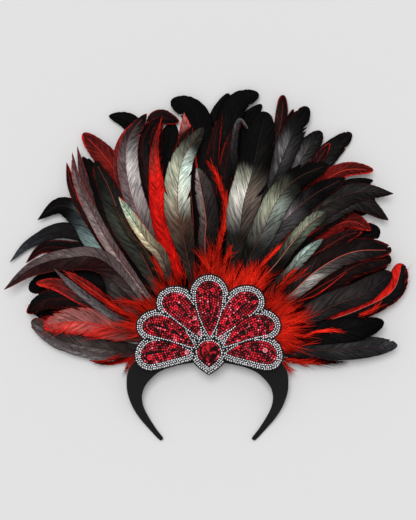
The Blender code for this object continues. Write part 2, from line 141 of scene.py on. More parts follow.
@dataclass
class Line:
    """A smooth line on the sheet, read at any share of its length.

    Each span between two points is cut into fine steps. dense holds the points of all steps, and run how far
    along the line each of them lies. A direction is taken from nudge before a share to nudge after it.
    """

    points: Array
    fine: int = 24
    nudge: float = 0.004
    dense: Array = field(init=False)
    run: Array = field(init=False)

    def __post_init__(self) -> None:
        """Join the points by cubic spans whose slopes come from the neighbouring points."""
        points = np.asarray(self.points, float)
        ring = np.vstack([2 * points[0] - points[1], points, 2 * points[-1] - points[-2]])
        t = np.linspace(0.0, 1.0, self.fine, endpoint=False)[:, None]
        spans = [
            (2 * t**3 - 3 * t**2 + 1) * start
            + (t**3 - 2 * t**2 + t) * (stop - before) / 2
            + (3 * t**2 - 2 * t**3) * stop
            + (t**3 - t**2) * (after - start) / 2
            for before, start, stop, after in zip(ring, ring[1:], ring[2:], ring[3:])
        ]
        self.dense = np.vstack(spans + [points[-1:]])
        steps = np.linalg.norm(np.diff(self.dense, axis=0), axis=1)
        self.run = np.concatenate([[0.0], np.cumsum(steps)])

    @property
    def length(self) -> float:
        """The line's length in millimetres."""
        return float(self.run[-1])

    def at(self, shares: Array) -> Array:
        """Points on the line; beyond its end it goes straight on.

        Args:
            shares: Shares of the length, in any shape.

        Returns:
            A point for each share.
        """
        wanted = shares * self.length
        inside = [np.interp(wanted, self.run, self.dense[:, axis]) for axis in range(self.dense.shape[1])]
        last = self.dense[-1] - self.dense[-2]
        last = last / np.linalg.norm(last)
        beyond = np.maximum(wanted - self.length, 0.0)[..., None] * last
        return np.stack(inside, axis=-1) + beyond

    def along(self, shares: Array) -> Array:
        """Unit directions of travel at these shares."""
        ahead = self.at(shares + self.nudge)[..., :2] - self.at(shares - self.nudge)[..., :2]
        return ahead / np.linalg.norm(ahead, axis=-1, keepdims=True)

    def left(self, shares: Array) -> Array:
        """Unit directions to the left of travel, on a sheet whose y runs down."""
        ahead = self.along(shares)
        return np.stack([ahead[..., 1], -ahead[..., 0]], axis=-1)


def skin_faces(rings: int, around: int) -> tuple[Array, Array]:
    """Faces of a closed skin over rings of points that are followed by one more point for each end.

    Args:
        rings: How many rings.
        around: The points on each ring.

    Returns:
        Four point numbers for each face between rings, and three for each face of the fans at both ends.
    """
    near = np.arange(around)
    far = (near + 1) % around
    low = np.arange(rings - 1)[:, None] * around
    high = low + around
    quads = np.stack([low + near, low + far, high + far, high + near], axis=-1).reshape(-1, 4)
    top = (rings - 1) * around
    foot = np.stack([np.full(around, rings * around), far, near], axis=1)
    head = np.stack([np.full(around, rings * around + 1), top + near, top + far], axis=1)
    return quads, np.vstack([foot, head])


@dataclass(frozen=True)
class Shape:
    """A small closed shape to repeat: its points round its own middle, and its faces."""

    points: Array
    quads: Array
    tris: Array

    @classmethod
    def turned(cls, profile: Array, around: int, foot: float, top: float) -> Shape:
        """A closed shape turned round its upright axis.

        A point stands at (radius x cos turn, -radius x sin turn, height).

        Args:
            profile: The radius and height of each ring, from foot to top.
            around: The points on each ring.
            foot: The height of the lowest point, on the axis.
            top: The height of the highest point, on the axis.

        Returns:
            The shape.
        """
        turn = np.linspace(0.0, 2 * math.pi, around, endpoint=False)[None, :]
        radius = profile[:, :1]
        grid = [radius * np.cos(turn), -radius * np.sin(turn), profile[:, 1:] + 0.0 * turn]
        points = np.vstack([np.stack(grid, axis=-1).reshape(-1, 3), [[0.0, 0.0, foot], [0.0, 0.0, top]]])
        return cls(points, *skin_faces(len(profile), around))

    @classmethod
    def ball(cls, around: int, rings: int) -> Shape:
        """A ball of radius 1, a half circle turned round."""
        slope = np.linspace(math.pi, 0.0, rings + 2)[1:-1]
        return cls.turned(np.stack([np.sin(slope), np.cos(slope)], axis=1), around, -1.0, 1.0)

    @classmethod
    def plate(cls, profile: Pairs, around: int) -> Shape:
        """A turned shape whose ends are flat, at the heights of its first and last rings."""
        return cls.turned(np.array(profile), around, profile[0][1], profile[-1][1])


@dataclass
class Surface:
    """Points, faces and painted values of one joined mesh, gathered as whole arrays."""

    points: list[Array] = field(default_factory=list)
    quads: list[Array] = field(default_factory=list)
    tris: list[Array] = field(default_factory=list)
    places: list[Array] = field(default_factory=list)
    colours: list[Array] = field(default_factory=list)
    count: int = 0

    def add(
        self,
        points: Array,
        quads: Array | None = None,
        tris: Array | None = None,
        place: Array | None = None,
        colour: Array | None = None,
    ) -> None:
        """Add a shape.

        Args:
            points: Its points on the layout sheet, height last, in any grid shape.
            quads: Its four-sided faces as point numbers.
            tris: Its three-sided faces as point numbers.
            place: Two surface values for each point, kept as the UV map.
            colour: A light value colour for each point or one for all.
        """
        flat = np.asarray(points, float).reshape(-1, 3)
        self.points.append(flat)
        for faces, kept in ((quads, self.quads), (tris, self.tris)):
            if faces is not None and len(faces):
                kept.append(np.asarray(faces).reshape(-1, faces.shape[-1]) + self.count)
        spot = np.zeros((len(flat), 2)) if place is None else np.asarray(place, float).reshape(-1, 2)
        self.places.append(spot)
        tone = np.ones(3) if colour is None else np.asarray(colour, float)
        self.colours.append(np.broadcast_to(tone.reshape(-1, 3), (len(flat), 3)))
        self.count += len(flat)

    def loft(self, rings: Array, place: Array | None = None, colour: Array | None = None) -> None:
        """Add a closed skin through rings of points, with both ends filled by fans.

        Middle x normal, summed over its faces, is above 0 where they point outwards; if not, they are turned.

        Args:
            rings: Sheet points in a grid of rings by points round each ring.
            place: Two surface values for each point of the grid.
            colour: A colour for each point of the grid, or one for all.
        """
        quads, tris = skin_faces(*rings.shape[:2])
        corner = world_points(rings).reshape(-1, 3)[quads]
        normal = np.cross(corner[:, 2] - corner[:, 0], corner[:, 3] - corner[:, 1])
        if (corner.mean(axis=1) * normal).sum() < 0.0:
            quads, tris = quads[:, ::-1], tris[:, ::-1]
        points = np.vstack([rings.reshape(-1, 3), rings[0].mean(axis=0), rings[-1].mean(axis=0)])
        if place is not None:
            place = np.vstack([place.reshape(-1, 2), place[0, :1], place[-1, :1]])
        if colour is not None and colour.ndim > 1:
            colour = np.vstack([colour.reshape(-1, 3), colour[0].mean(axis=0), colour[-1].mean(axis=0)])
        self.add(points, quads=quads, tris=tris, place=place, colour=colour)

    def repeat(self, shape: Shape, middles: Array, frames: Array, colours: Array) -> None:
        """Add a small shape at many places.

        Args:
            shape: The shape.
            middles: Where each copy stands on the sheet, height last.
            frames: Each copy's own three axes as rows, times its size along each.
            colours: Each copy's colour.
        """
        points = middles[:, None, :] + np.einsum("pi,nij->npj", shape.points, frames)
        shift = (np.arange(len(middles)) * len(shape.points))[:, None, None]
        quads = (shape.quads[None] + shift).reshape(-1, 4)
        tris = (shape.tris[None] + shift).reshape(-1, 3)
        self.add(points, quads=quads, tris=tris, colour=np.repeat(colours, len(shape.points), axis=0))

    def blades(self, middles: Array, wide: Array, colours: Array) -> None:
        """Add many thin curved blades, whose faces look up.

        A blade has two points at each joint, middle - wide and middle + wide.

        Args:
            middles: Points along each blade's middle, as blades by joints by three.
            wide: Half of the blade's width as a vector at each joint.
            colours: A colour for each blade, or one for each of its joints.
        """
        count, joints = middles.shape[:2]
        points = np.stack([middles - wide, middles + wide], axis=2)
        step = np.arange(joints - 1)[:, None] * 2 + np.array([0, 1, 3, 2])
        quads = (np.arange(count)[:, None, None] * joints * 2 + step).reshape(-1, 4)
        each = colours[:, None, :] if colours.ndim == 2 else colours
        tones = np.broadcast_to(each[:, :, None, :], (count, joints, 2, 3))
        corner = world_points(points.reshape(-1, 3))[quads]
        normal = np.cross(corner[:, 2] - corner[:, 0], corner[:, 3] - corner[:, 1])
        quads = np.where(normal[:, 2:] < 0.0, quads[:, ::-1], quads)
        self.add(points, quads=quads, colour=tones)

    def facets(self, corners: Array, colours: Array) -> None:
        """Add flat facets, each with its own corner points and one colour.

        Args:
            corners: Three or four points of each facet, as facets by corners by three.
            colours: Each facet's colour.
        """
        count, sides = corners.shape[:2]
        faces = np.arange(count * sides).reshape(count, sides)
        tones = np.repeat(colours, sides, axis=0)
        self.add(corners, colour=tones, **{"quads" if sides == 4 else "tris": faces})

    def mesh(self, name: str) -> bpy.types.Mesh:
        """Put the gathered arrays into a mesh, with a UV map and the painted colours.

        Args:
            name: The mesh's name.

        Returns:
            The mesh, in the frame's metres.
        """
        points = world_points(np.vstack(self.points))
        faces = [np.vstack(kept) for kept in (self.quads, self.tris) if kept]
        corners = np.concatenate([group.reshape(-1) for group in faces]).astype(np.int32)
        sizes = np.concatenate([np.full(len(group), group.shape[1]) for group in faces])
        starts = np.concatenate([[0], np.cumsum(sizes)[:-1]]).astype(np.int32)
        mesh = bpy.data.meshes.new(name)
        mesh.vertices.add(len(points))
        mesh.vertices.foreach_set("co", points.astype(np.float32).reshape(-1))
        mesh.loops.add(len(corners))
        mesh.loops.foreach_set("vertex_index", corners)
        mesh.polygons.add(len(starts))
        mesh.polygons.foreach_set("loop_start", starts)
        mesh.update(calc_edges=True)
        mesh.validate()
        uv = mesh.uv_layers.new(name="UVMap")
        uv.data.foreach_set("uv", np.vstack(self.places)[corners].astype(np.float32).reshape(-1))
        paint = mesh.color_attributes.new(name="Paint", type="FLOAT_COLOR", domain="POINT")
        tones = np.hstack([np.vstack(self.colours), np.ones((len(points), 1))])
        paint.data.foreach_set("color", tones.astype(np.float32).reshape(-1))
        LOG.info("%s: %d points, %d faces", name, len(points), len(starts))
        return mesh

    def build(
        self,
        name: str,
        material: Material,
        slot: str,
        replaced: tuple[str, ...] = (),
        smooth: bool = True,
    ) -> None:
        """Make the piece, let it ride on the body and stand for the solids that it replaces.

        Args:
            name: The piece's name.
            material: Its finish.
            slot: The record's material slot; not used.
            replaced: The solids that it stands for.
            smooth: Whether light runs smoothly over its faces.
        """
        mesh = self.mesh(name)
        if smooth:
            mesh.shade_smooth()
        mesh.materials.append(material)
        made = bpy.data.objects.new(name, mesh)
        bpy.context.scene.collection.objects.link(made)
        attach(made, BODY)
        if replaced:
            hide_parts(*replaced)


@dataclass(frozen=True)
class Studio:
    """The camera straight above, a plain pale floor and soft lights.

    A pixel of the picture is a millimetre at the focus height. The floor's size and depth are in metres. The
    window is a wide, far light from the top of the picture, and the air lights everything evenly.
    """

    picture: tuple[int, int] = (416, 520)
    lens: float = 135.0
    focus_height: float = 20.0
    floor_colour: Colour = (218, 217, 217)
    floor_size: float = 8.0
    floor_depth: float = 0.0002
    window_place: tuple[float, float, float] = (-0.17, 0.52, 1.88)
    window_spread: float = 0.55
    window_power: float = 1.81
    air_power: float = 0.55

    def camera(self) -> None:
        """Set the camera so that one picture pixel is one millimetre at the feathers' middle height."""
        data = bpy.data.cameras.new("camera")
        data.lens = self.lens
        away = self.picture[1] * self.lens / data.sensor_width
        made = bpy.data.objects.new("camera", data)
        middle = np.array([*self.picture, 0.0]) / 2.0
        middle[2] = self.focus_height + away
        made.location = world_points(middle)
        bpy.context.scene.collection.objects.link(made)
        bpy.context.scene.camera = made

    def floor(self) -> None:
        """Lay a wide plain floor just under the headdress."""
        bpy.ops.mesh.primitive_plane_add(size=self.floor_size, location=(0.0, 0.0, -self.floor_depth))
        made = bpy.context.object
        made.name = "floor"
        material, board, shader = start_material("pale_floor")
        plain = {"Base Color": opaque(self.floor_colour), "Roughness": 0.9, "Specular IOR Level": 0.1}
        board.feed(shader, plain)
        made.data.materials.append(material)

    def window(self) -> None:
        """Hang the main light and turn it towards the headdress."""
        data = bpy.data.lights.new("window", "SUN")
        data.angle = self.window_spread
        data.energy = self.window_power
        made = bpy.data.objects.new("window", data)
        made.location = self.window_place
        toward = -made.location
        made.rotation_euler = toward.to_track_quat("-Z", "Y").to_euler()
        bpy.context.scene.collection.objects.link(made)

    def air(self) -> None:
        """Fill the room with even white light."""
        world = bpy.data.worlds.new("studio_air")
        bpy.context.scene.world = world
        world.use_nodes = True
        shader = world.node_tree.nodes["Background"]
        shader.inputs["Color"].default_value = (1.0, 1.0, 1.0, 1.0)
        shader.inputs["Strength"].default_value = self.air_power

    def build(self) -> None:
        """Set up the whole studio."""
        self.camera()
        self.floor()
        self.window()
        self.air()
        bpy.context.scene.view_settings.view_transform = "Standard"


@dataclass
class Board:
    """A node tree with short calls for adding and joining nodes."""

    tree: bpy.types.NodeTree

    def feed(self, node: Node, inputs: dict[str | int, object]) -> None:
        """Fill a node's input sockets.

        Args:
            node: The node.
            inputs: For each input socket a value, or an output socket of another node to join to it.
        """
        for name, value in inputs.items():
            if isinstance(value, Socket):
                self.tree.links.new(value, node.inputs[name])
            else:
                node.inputs[name].default_value = value

    def add(self, kind: str, inputs: dict[str | int, object], **settings: object) -> Node:
        """Add a node.

        Args:
            kind: Its type name after ShaderNode.
            inputs: What its input sockets are fed.
            settings: Its own settings, made first.

        Returns:
            The node.
        """
        node = self.tree.nodes.new(kind if kind.startswith("Node") else "ShaderNode" + kind)
        for name, value in settings.items():
            setattr(node, name, value)
        self.feed(node, inputs)
        return node

    def noise(self, place: Socket, scale: Socket, detail: float) -> Socket:
        """Add a noise and give its value."""
        return self.add("TexNoise", {"Vector": place, "Scale": scale, "Detail": detail}).outputs["Fac"]

    def stretch(self, place: Socket, by: tuple[float, float, float]) -> Socket:
        """Multiply a place by a number along each axis."""
        return self.add("VectorMath", {0: place, 1: by}, operation="MULTIPLY").outputs[0]

    def math(self, operation: str, *values: Socket | float) -> Socket:
        """Add a step of arithmetic and give its value."""
        return self.add("Math", dict(enumerate(values)), operation=operation).outputs[0]

    def ranged(self, value: Socket, given: Range, wanted: Range) -> Socket:
        """Move a value from one range to another, held at its ends."""
        ends = {"From Min": given[0], "From Max": given[1], "To Min": wanted[0], "To Max": wanted[1]}
        return self.add("MapRange", {"Value": value, **ends}).outputs[0]

    def bumps(self, height: Socket, strength: float, distance: float) -> Socket:
        """Turn heights into a bumpy surface direction."""
        return self.add("Bump", {"Height": height, "Strength": strength, "Distance": distance}).outputs[0]


Group = tuple[Board, Node, Node]


def new_group(name: str, inputs: dict[str, tuple[str, float | None]], outputs: dict[str, str]) -> Group:
    """Start a shader node group.

    Args:
        name: The group's name.
        inputs: Each input's socket kind and default value.
        outputs: Each output's socket kind.

    Returns:
        The board, the group's input node and its output node.
    """
    tree = bpy.data.node_groups.new(name, "ShaderNodeTree")
    for label, (kind, value) in inputs.items():
        socket = tree.interface.new_socket(label, in_out="INPUT", socket_type=kind)
        if value is not None:
            socket.default_value = value
    for label, kind in outputs.items():
        tree.interface.new_socket(label, in_out="OUTPUT", socket_type=kind)
    board = Board(tree)
    return board, board.add("NodeGroupInput", {}), board.add("NodeGroupOutput", {})


class Effects:
    """Shader groups that several finishes share."""

    FLOAT = "NodeSocketFloat"
    VECTOR = "NodeSocketVector"
    WHOLE = (0.0, 1.0)
    BARB_STRETCH = (1.0, 0.3, 1.0)
    GAP_STRETCH = (0.7, 0.5, 1.0)
    BARB_STRENGTH = 2.4
    SHARE_RANGE = (0.26, 0.74)
    GAP_RANGE = (0.3, 0.42)

    def __init__(self) -> None:
        """Build each group once."""
        self.barbs = self._barbs()
        self.mottle = self._mottle()

    def _barbs(self) -> bpy.types.NodeTree:
        """Fine lines across the UV map's first value, as a light and dark share and a height.

        Share = broad + (fine - middle) x strength x broad, times a dip to dark where a third noise is low.

        Returns:
            The group.
        """
        wants = {"Place": (self.VECTOR, None), "Lines": (self.FLOAT, 9.0), "Break": (self.FLOAT, 2.0)}
        board, given, out = new_group("barb_lines", wants, {"Share": self.FLOAT, "Height": self.FLOAT})
        place, lines, blotches = given.outputs["Place"], given.outputs["Lines"], given.outputs["Break"]
        fine = board.noise(board.stretch(place, self.BARB_STRETCH), lines, 3.0)
        broad = board.noise(place, blotches, 2.0)
        gap = board.noise(board.stretch(place, self.GAP_STRETCH), lines, 1.0)
        strong = board.math("MULTIPLY", board.math("SUBTRACT", fine, 0.5), broad)
        wave = board.math("MULTIPLY_ADD", strong, self.BARB_STRENGTH, broad)
        share = board.ranged(wave, self.SHARE_RANGE, self.WHOLE)
        split = board.ranged(gap, self.GAP_RANGE, self.WHOLE)
        board.feed(out, {"Share": board.math("MULTIPLY", share, split), "Height": fine})
        return board.tree

    def _mottle(self) -> bpy.types.NodeTree:
        """Soft blotches and a fine grain in object space, as two shares.

        Returns:
            The group.
        """
        wants = {"Place": (self.VECTOR, None), "Blotch": (self.FLOAT, 60.0), "Grain": (self.FLOAT, 900.0)}
        board, given, out = new_group("mottle", wants, {"Blotch": self.FLOAT, "Grain": self.FLOAT})
        blotch = board.noise(given.outputs["Place"], given.outputs["Blotch"], 3.0)
        grain = board.noise(given.outputs["Place"], given.outputs["Grain"], 2.0)
        board.feed(out, {"Blotch": blotch, "Grain": grain})
        return board.tree


def start_material(name: str) -> tuple[Material, Board, Node]:
    """Start a material.

    Args:
        name: Its name.

    Returns:
        The material, its board and its Principled shader.
    """
    material = bpy.data.materials.new(name)
    material.use_nodes = True
    return material, Board(material.node_tree), material.node_tree.nodes["Principled BSDF"]


@dataclass(frozen=True)
class PaintedFinish:
    """A finish whose colour is painted on the points and broken up by fine barb lines.

    The base colour is the painted colour times a share that runs from dark to light with the barb lines. With
    both at 1 and no bump the lines don't show.
    """

    name: str
    roughness: float
    specular: float
    metallic: float = 0.0
    dark: float = 1.0
    light: float = 1.0
    lines: float = 3.0
    lines_each_blotch: float = 6.0
    bump: float = 0.0
    bump_height: float = 0.0006

    def material(self, effects: Effects) -> Material:
        """Build the material.

        Args:
            effects: The shared shader groups.

        Returns:
            The material.
        """
        material, board, shader = start_material(self.name)
        paint = board.add("Attribute", {}, attribute_name="Paint").outputs["Color"]
        uv = board.add("UVMap", {}, uv_map="UVMap").outputs["UV"]
        given = {"Place": uv, "Lines": self.lines, "Break": self.lines / self.lines_each_blotch}
        barbs = board.add("Group", given, node_tree=effects.barbs).outputs
        share = board.ranged(barbs["Share"], effects.WHOLE, (self.dark, self.light))
        mixed = board.add("VectorMath", {0: paint, "Scale": share}, operation="SCALE").outputs[0]
        look = {"Roughness": self.roughness, "Specular IOR Level": self.specular, "Metallic": self.metallic}
        normal = board.bumps(barbs["Height"], self.bump, self.bump_height)
        board.feed(shader, {"Base Color": mixed, "Normal": normal, **look})
        return material


@dataclass(frozen=True)
class FeltFinish:
    """Felt: a dark ground with paler fibre specks, a soft nap and a faint sheen."""

    name: str
    ground: Colour = (9, 8, 9)
    fibre: Colour = (32, 31, 32)
    blotches: float = 45.0
    specks: float = 1500.0
    speck_range: Range = (0.5, 0.8)
    nap: float = 0.5
    nap_height: float = 0.0004
    roughness: float = 0.92
    specular: float = 0.25
    sheen: float = 0.12
    sheen_roughness: float = 0.5

    def material(self, effects: Effects) -> Material:
        """Build the material.

        Args:
            effects: The shared shader groups.

        Returns:
            The material.
        """
        material, board, shader = start_material(self.name)
        where = board.add("TexCoord", {}).outputs["Object"]
        given = {"Place": where, "Blotch": self.blotches, "Grain": self.specks}
        mottle = board.add("Group", given, node_tree=effects.mottle).outputs
        tops = board.ranged(mottle["Grain"], self.speck_range, effects.WHOLE)
        worn = board.math("MULTIPLY", tops, mottle["Blotch"])
        # A colour mix takes its share at socket 0 and its two colours at sockets 6 and 7, and gives socket 2.
        both = {0: worn, 6: opaque(self.ground), 7: opaque(self.fibre)}
        mixed = board.add("Mix", both, data_type="RGBA").outputs[2]
        normal = board.bumps(mottle["Grain"], self.nap, self.nap_height)
        look = {"Roughness": self.roughness, "Specular IOR Level": self.specular}
        nap = {"Sheen Weight": self.sheen, "Sheen Roughness": self.sheen_roughness}
        board.feed(shader, {"Base Color": mixed, "Normal": normal, **look, **nap})
        return material


@dataclass(frozen=True)
class Pile:
    """The pile of feather layers: how high a layer lies at a distance from the foot of the palmette.

    Height = root height + row gap + level x growth x droop - drop. Growth, droop and drop are smooth steps
    of the distance, so the layers lie close at the palmette, spread outwards and sink to the floor at the
    rim.
    """

    root_z: float = 3.0
    row_gap: float = 1.2
    at_root: float = 0.8
    growth: float = 2.5
    rise_from: float = 79.0
    rise_length: float = 75.0
    drop_from: float = 110.0
    drop_length: float = 80.0
    drop: float = 3.0
    droop_from: float = 150.0
    droop: float = 0.25

    def height(self, flat: Array, level: Array | float, row: int) -> Array:
        """Height of a layer at sheet points.

        Args:
            flat: Sheet points.
            level: The layer's level in the pile.
            row: The row of feathers, counted from the back.

        Returns:
            Heights in millimetres.
        """
        away = np.linalg.norm(flat - FOCUS, axis=-1)
        growth = self.at_root + self.growth * smooth_step((away - self.rise_from) / self.rise_length)
        droop = 1.0 - self.droop * smooth_step((away - self.droop_from) / self.drop_length)
        drop = self.drop * smooth_step((away - self.drop_from) / self.drop_length)
        return self.root_z + self.row_gap * row + level * growth * droop - drop


PILE = Pile()


@dataclass(frozen=True)
class Plume:
    """How one kind of feather is coloured and how ragged it is.

    Each vane has five colours, at the shares of its length in stops. A line of the edge colour runs along the
    outline, line millimetres wide. Soft patches of painted sheen, painted highlights on the barbs, take the
    sheen colour, as strongly as the sheen strength says. The painted shade darkens a vane from the quill
    outwards, for the shadow where feathers overlap together with the vanes' own darker edges. fringe is how
    thick its loose barbs stand, and split how often its vanes are split.
    """

    left: Stops
    right: Stops
    quill: Colour
    edge: Colour
    painted_sheen: Colour = (70, 66, 68)
    sheen_strength: float = 0.35
    shade: float = 0.35
    line: float = 0.8
    fringe: float = 0.15
    split: float = 0.3
    stops: tuple[float, ...] = (0.3, 0.45, 0.65, 0.85, 1.0)


def even(base: Colour, middle: Colour, outer: Colour, tip: Colour) -> Stops:
    """Five vane colours from four, with the middle one used twice."""
    return (base, middle, middle, outer, tip)


INK: Colour = (5, 4, 4)
SOOT: Colour = (11, 9, 10)
WINE: Colour = (30, 10, 10)


class Kind(Enum):
    """The kinds of feather in the headdress."""

    # Pale grey, teal and cream bands in the stops of the darker kinds are partly the feathers' own colour and
    # partly painted sheen.
    BLACK = Plume(
        even(INK, SOOT, INK, INK), even(INK, (14, 12, 12), INK, INK), (24, 13, 13), (16, 7, 7), sheen_strength=0.16,
    )
    SHEEN = Plume(
        ((12, 11, 11), (30, 28, 28), (64, 61, 61), (22, 20, 20), INK),
        ((10, 9, 9), (20, 18, 18), (36, 34, 34), (12, 11, 11), INK), (40, 30, 30), (60, 14, 12),
        painted_sheen=(190, 188, 188), sheen_strength=1.0, split=1.2, stops=(0.5, 0.62, 0.76, 0.87, 0.94),
    )
    BLACK_RED = Plume(even(INK, SOOT, WINE, INK), even(INK, SOOT, SOOT, INK), (92, 20, 17), (150, 26, 21))
    BLACK_GLOSS = Plume(
        ((20, 22, 22), (146, 172, 163), (96, 112, 113), (44, 50, 52), INK),
        ((18, 18, 18), (122, 152, 141), (128, 156, 146), (70, 84, 80), INK), (60, 44, 42), (14, 11, 11),
        painted_sheen=(190, 212, 204), sheen_strength=0.75, split=0.0, stops=(0.3, 0.46, 0.63, 0.71, 0.8),
    )
    BLUE_TIP = Plume(
        (INK, (12, 9, 9), (22, 18, 19), (36, 38, 41), (72, 80, 84)),
        (INK, (12, 9, 9), (20, 17, 18), (32, 34, 37), (64, 72, 76)), (44, 30, 30), (40, 24, 25),
    )
    MAUVE = Plume(
        even((48, 36, 35), (34, 13, 13), (44, 22, 22), (40, 30, 31)),
        even((82, 68, 67), (84, 70, 70), (76, 64, 65), (54, 47, 49)), (34, 14, 14), (128, 44, 38),
        painted_sheen=(150, 138, 138), sheen_strength=0.38, shade=0.1,
    )
    MAUVE_BAND = Plume(
        even((122, 106, 103), (120, 104, 102), (92, 78, 78), (58, 47, 48)),
        even((92, 74, 71), (84, 68, 67), (68, 54, 54), (46, 30, 31)), (110, 50, 42), (196, 38, 30),
        painted_sheen=(156, 146, 146), sheen_strength=0.7, shade=0.1, stops=(0.15, 0.45, 0.65, 0.85, 1.0),
    )
    HOOK = Plume(
        (INK, INK, INK, (52, 48, 50), (126, 122, 123)), (INK, INK, INK, (40, 37, 39), (92, 88, 90)),
        (30, 24, 25), (40, 30, 30),
    )
    MAROON = Plume(
        even((18, 7, 7), (34, 12, 11), (32, 12, 12), (18, 8, 8)),
        even((16, 7, 7), (26, 9, 9), (24, 10, 10), (14, 7, 7)), (150, 40, 33), (184, 34, 28),
    )
    GREEN_BLACK = Plume(
        even((46, 45, 40), (44, 46, 41), (18, 18, 16), (8, 7, 7)),
        even((34, 33, 30), (32, 32, 29), (15, 14, 13), (8, 7, 7)), (150, 64, 54), (120, 26, 21),
        painted_sheen=(132, 136, 126),
    )
    RED_DARK = Plume(
        ((30, 8, 8), (70, 14, 12), (140, 26, 21), (92, 20, 17), (70, 16, 14)),
        ((28, 8, 8), (60, 12, 11), (128, 24, 19), (86, 19, 16), (66, 15, 14)), (240, 70, 56), (226, 44, 36),
        painted_sheen=(150, 42, 36), line=1.4, fringe=0.3, stops=(0.3, 0.5, 0.72, 0.85, 1.0),
    )
    RED = Plume(
        ((190, 18, 13), (196, 24, 17), (146, 44, 39), (60, 20, 18), (16, 8, 8)),
        ((212, 18, 12), (212, 22, 14), (176, 30, 23), (70, 16, 15), (30, 8, 8)), (206, 38, 28), (190, 24, 18),
        painted_sheen=(236, 50, 38), shade=0.35, fringe=0.4, split=1.6, stops=(0.55, 0.66, 0.74, 0.84, 1.0),
    )
    MINT = Plume(
        ((60, 50, 46), (128, 110, 92), (206, 192, 156), (186, 202, 172), (150, 172, 152)),
        ((44, 36, 33), (92, 80, 68), (150, 140, 114), (148, 166, 142), (110, 130, 116)), (60, 48, 38),
        (200, 42, 32), painted_sheen=(232, 228, 204), shade=0.3,
    )
    TEAL = Plume(
        ((24, 22, 20), (60, 56, 52), (120, 130, 122), (150, 172, 162), (96, 112, 106)),
        ((20, 18, 17), (44, 42, 38), (84, 92, 86), (116, 134, 126), (76, 90, 84)), (60, 48, 38), (50, 34, 30),
        painted_sheen=(206, 220, 210), sheen_strength=0.8, split=0.5, stops=(0.4, 0.52, 0.66, 0.84, 1.0),
    )
    OLIVE = Plume(
        even((16, 14, 11), (34, 32, 24), (46, 43, 33), (30, 28, 24)),
        even((16, 14, 11), (28, 26, 20), (36, 34, 26), (26, 24, 21)), (110, 60, 48), (60, 34, 28),
        painted_sheen=(100, 96, 80),
    )
    SILVER = Plume(
        ((84, 66, 68), (104, 90, 91), (94, 78, 80), (46, 32, 34), (20, 11, 11)),
        ((62, 34, 34), (108, 96, 96), (174, 167, 167), (70, 64, 65), (14, 9, 9)), (150, 84, 74),
        (196, 38, 30), painted_sheen=(214, 210, 210), sheen_strength=0.7, shade=0.2, split=0.8,
        stops=(0.3, 0.45, 0.7, 0.86, 0.95),
    )
    CREAM = Plume(
        ((34, 25, 22), (98, 74, 62), (166, 162, 141), (164, 168, 146), (44, 43, 36)),
        ((28, 21, 19), (80, 60, 50), (210, 216, 200), (202, 219, 207), (30, 29, 25)), (120, 60, 44),
        (50, 42, 34), painted_sheen=(226, 234, 216), sheen_strength=0.7, shade=0.2, split=1.8,
        stops=(0.3, 0.46, 0.6, 0.74, 0.88),
    )
    MOSS = Plume(
        ((30, 26, 24), (136, 132, 126), (210, 206, 196), (150, 150, 134), INK),
        ((26, 20, 18), (74, 60, 54), (106, 92, 83), (66, 60, 53), INK), (40, 42, 43), (20, 15, 13),
        painted_sheen=(220, 218, 202), sheen_strength=0.5, split=0.8, stops=(0.36, 0.46, 0.56, 0.64, 0.71),
    )
    JADE = Plume(
        ((20, 17, 15), (92, 90, 84), (158, 160, 138), (66, 66, 56), INK),
        ((24, 22, 21), (80, 82, 78), (128, 138, 130), (40, 42, 38), INK), (86, 54, 40), (20, 14, 12),
        painted_sheen=(206, 216, 196), sheen_strength=0.65, split=1.2, stops=(0.34, 0.46, 0.6, 0.7, 0.79),
    )
    LILAC = Plume(
        ((30, 26, 26), (66, 62, 62), (122, 115, 118), (30, 28, 29), INK),
        ((26, 24, 24), (54, 52, 52), (74, 71, 72), (22, 21, 22), INK), (100, 54, 47), (90, 20, 17),
        painted_sheen=(186, 182, 182), sheen_strength=0.8, split=0.8, stops=(0.34, 0.48, 0.6, 0.71, 0.82),
    )
    IVORY = Plume(
        ((26, 21, 18), (66, 64, 54), (132, 136, 116), (110, 116, 102), (50, 52, 45)),
        ((18, 15, 13), (40, 39, 33), (84, 90, 77), (66, 70, 62), (30, 30, 27)), (190, 124, 108), (40, 32, 27),
        painted_sheen=(206, 212, 190), sheen_strength=0.6, split=1.6, stops=(0.48, 0.64, 0.78, 0.92, 1.0),
    )
    GREY = Plume(
        even((40, 35, 36), (96, 91, 92), (100, 95, 96), (84, 79, 81)),
        even((36, 31, 32), (76, 71, 73), (80, 75, 77), (66, 61, 63)), (110, 92, 92), (84, 44, 40),
        painted_sheen=(140, 136, 136), shade=0.15,
    )
    DARK_GREY = Plume(
        even((20, 17, 16), (42, 37, 37), (32, 29, 30), (18, 16, 17)),
        even((16, 14, 14), (30, 26, 26), (24, 21, 22), (15, 13, 14)), (74, 46, 43), (60, 16, 14),
        painted_sheen=(116, 110, 108), sheen_strength=0.65, split=0.8,
    )
    SLATE = Plume(
        even((34, 31, 30), (40, 38, 38), (38, 37, 39), (52, 56, 60)),
        even((30, 27, 26), (34, 33, 33), (32, 32, 34), (44, 48, 52)), (70, 42, 40), (60, 28, 28),
        painted_sheen=(84, 84, 86), sheen_strength=0.6,
    )
    SALMON_QUILL = Plume(
        even((20, 10, 10), (26, 15, 16), (16, 10, 11), (8, 6, 6)),
        ((50, 40, 38), (116, 108, 104), (56, 49, 49), (14, 10, 11), (8, 6, 6)), (228, 104, 86), (150, 26, 22),
        painted_sheen=(190, 186, 180), sheen_strength=0.9, split=1.0,
    )
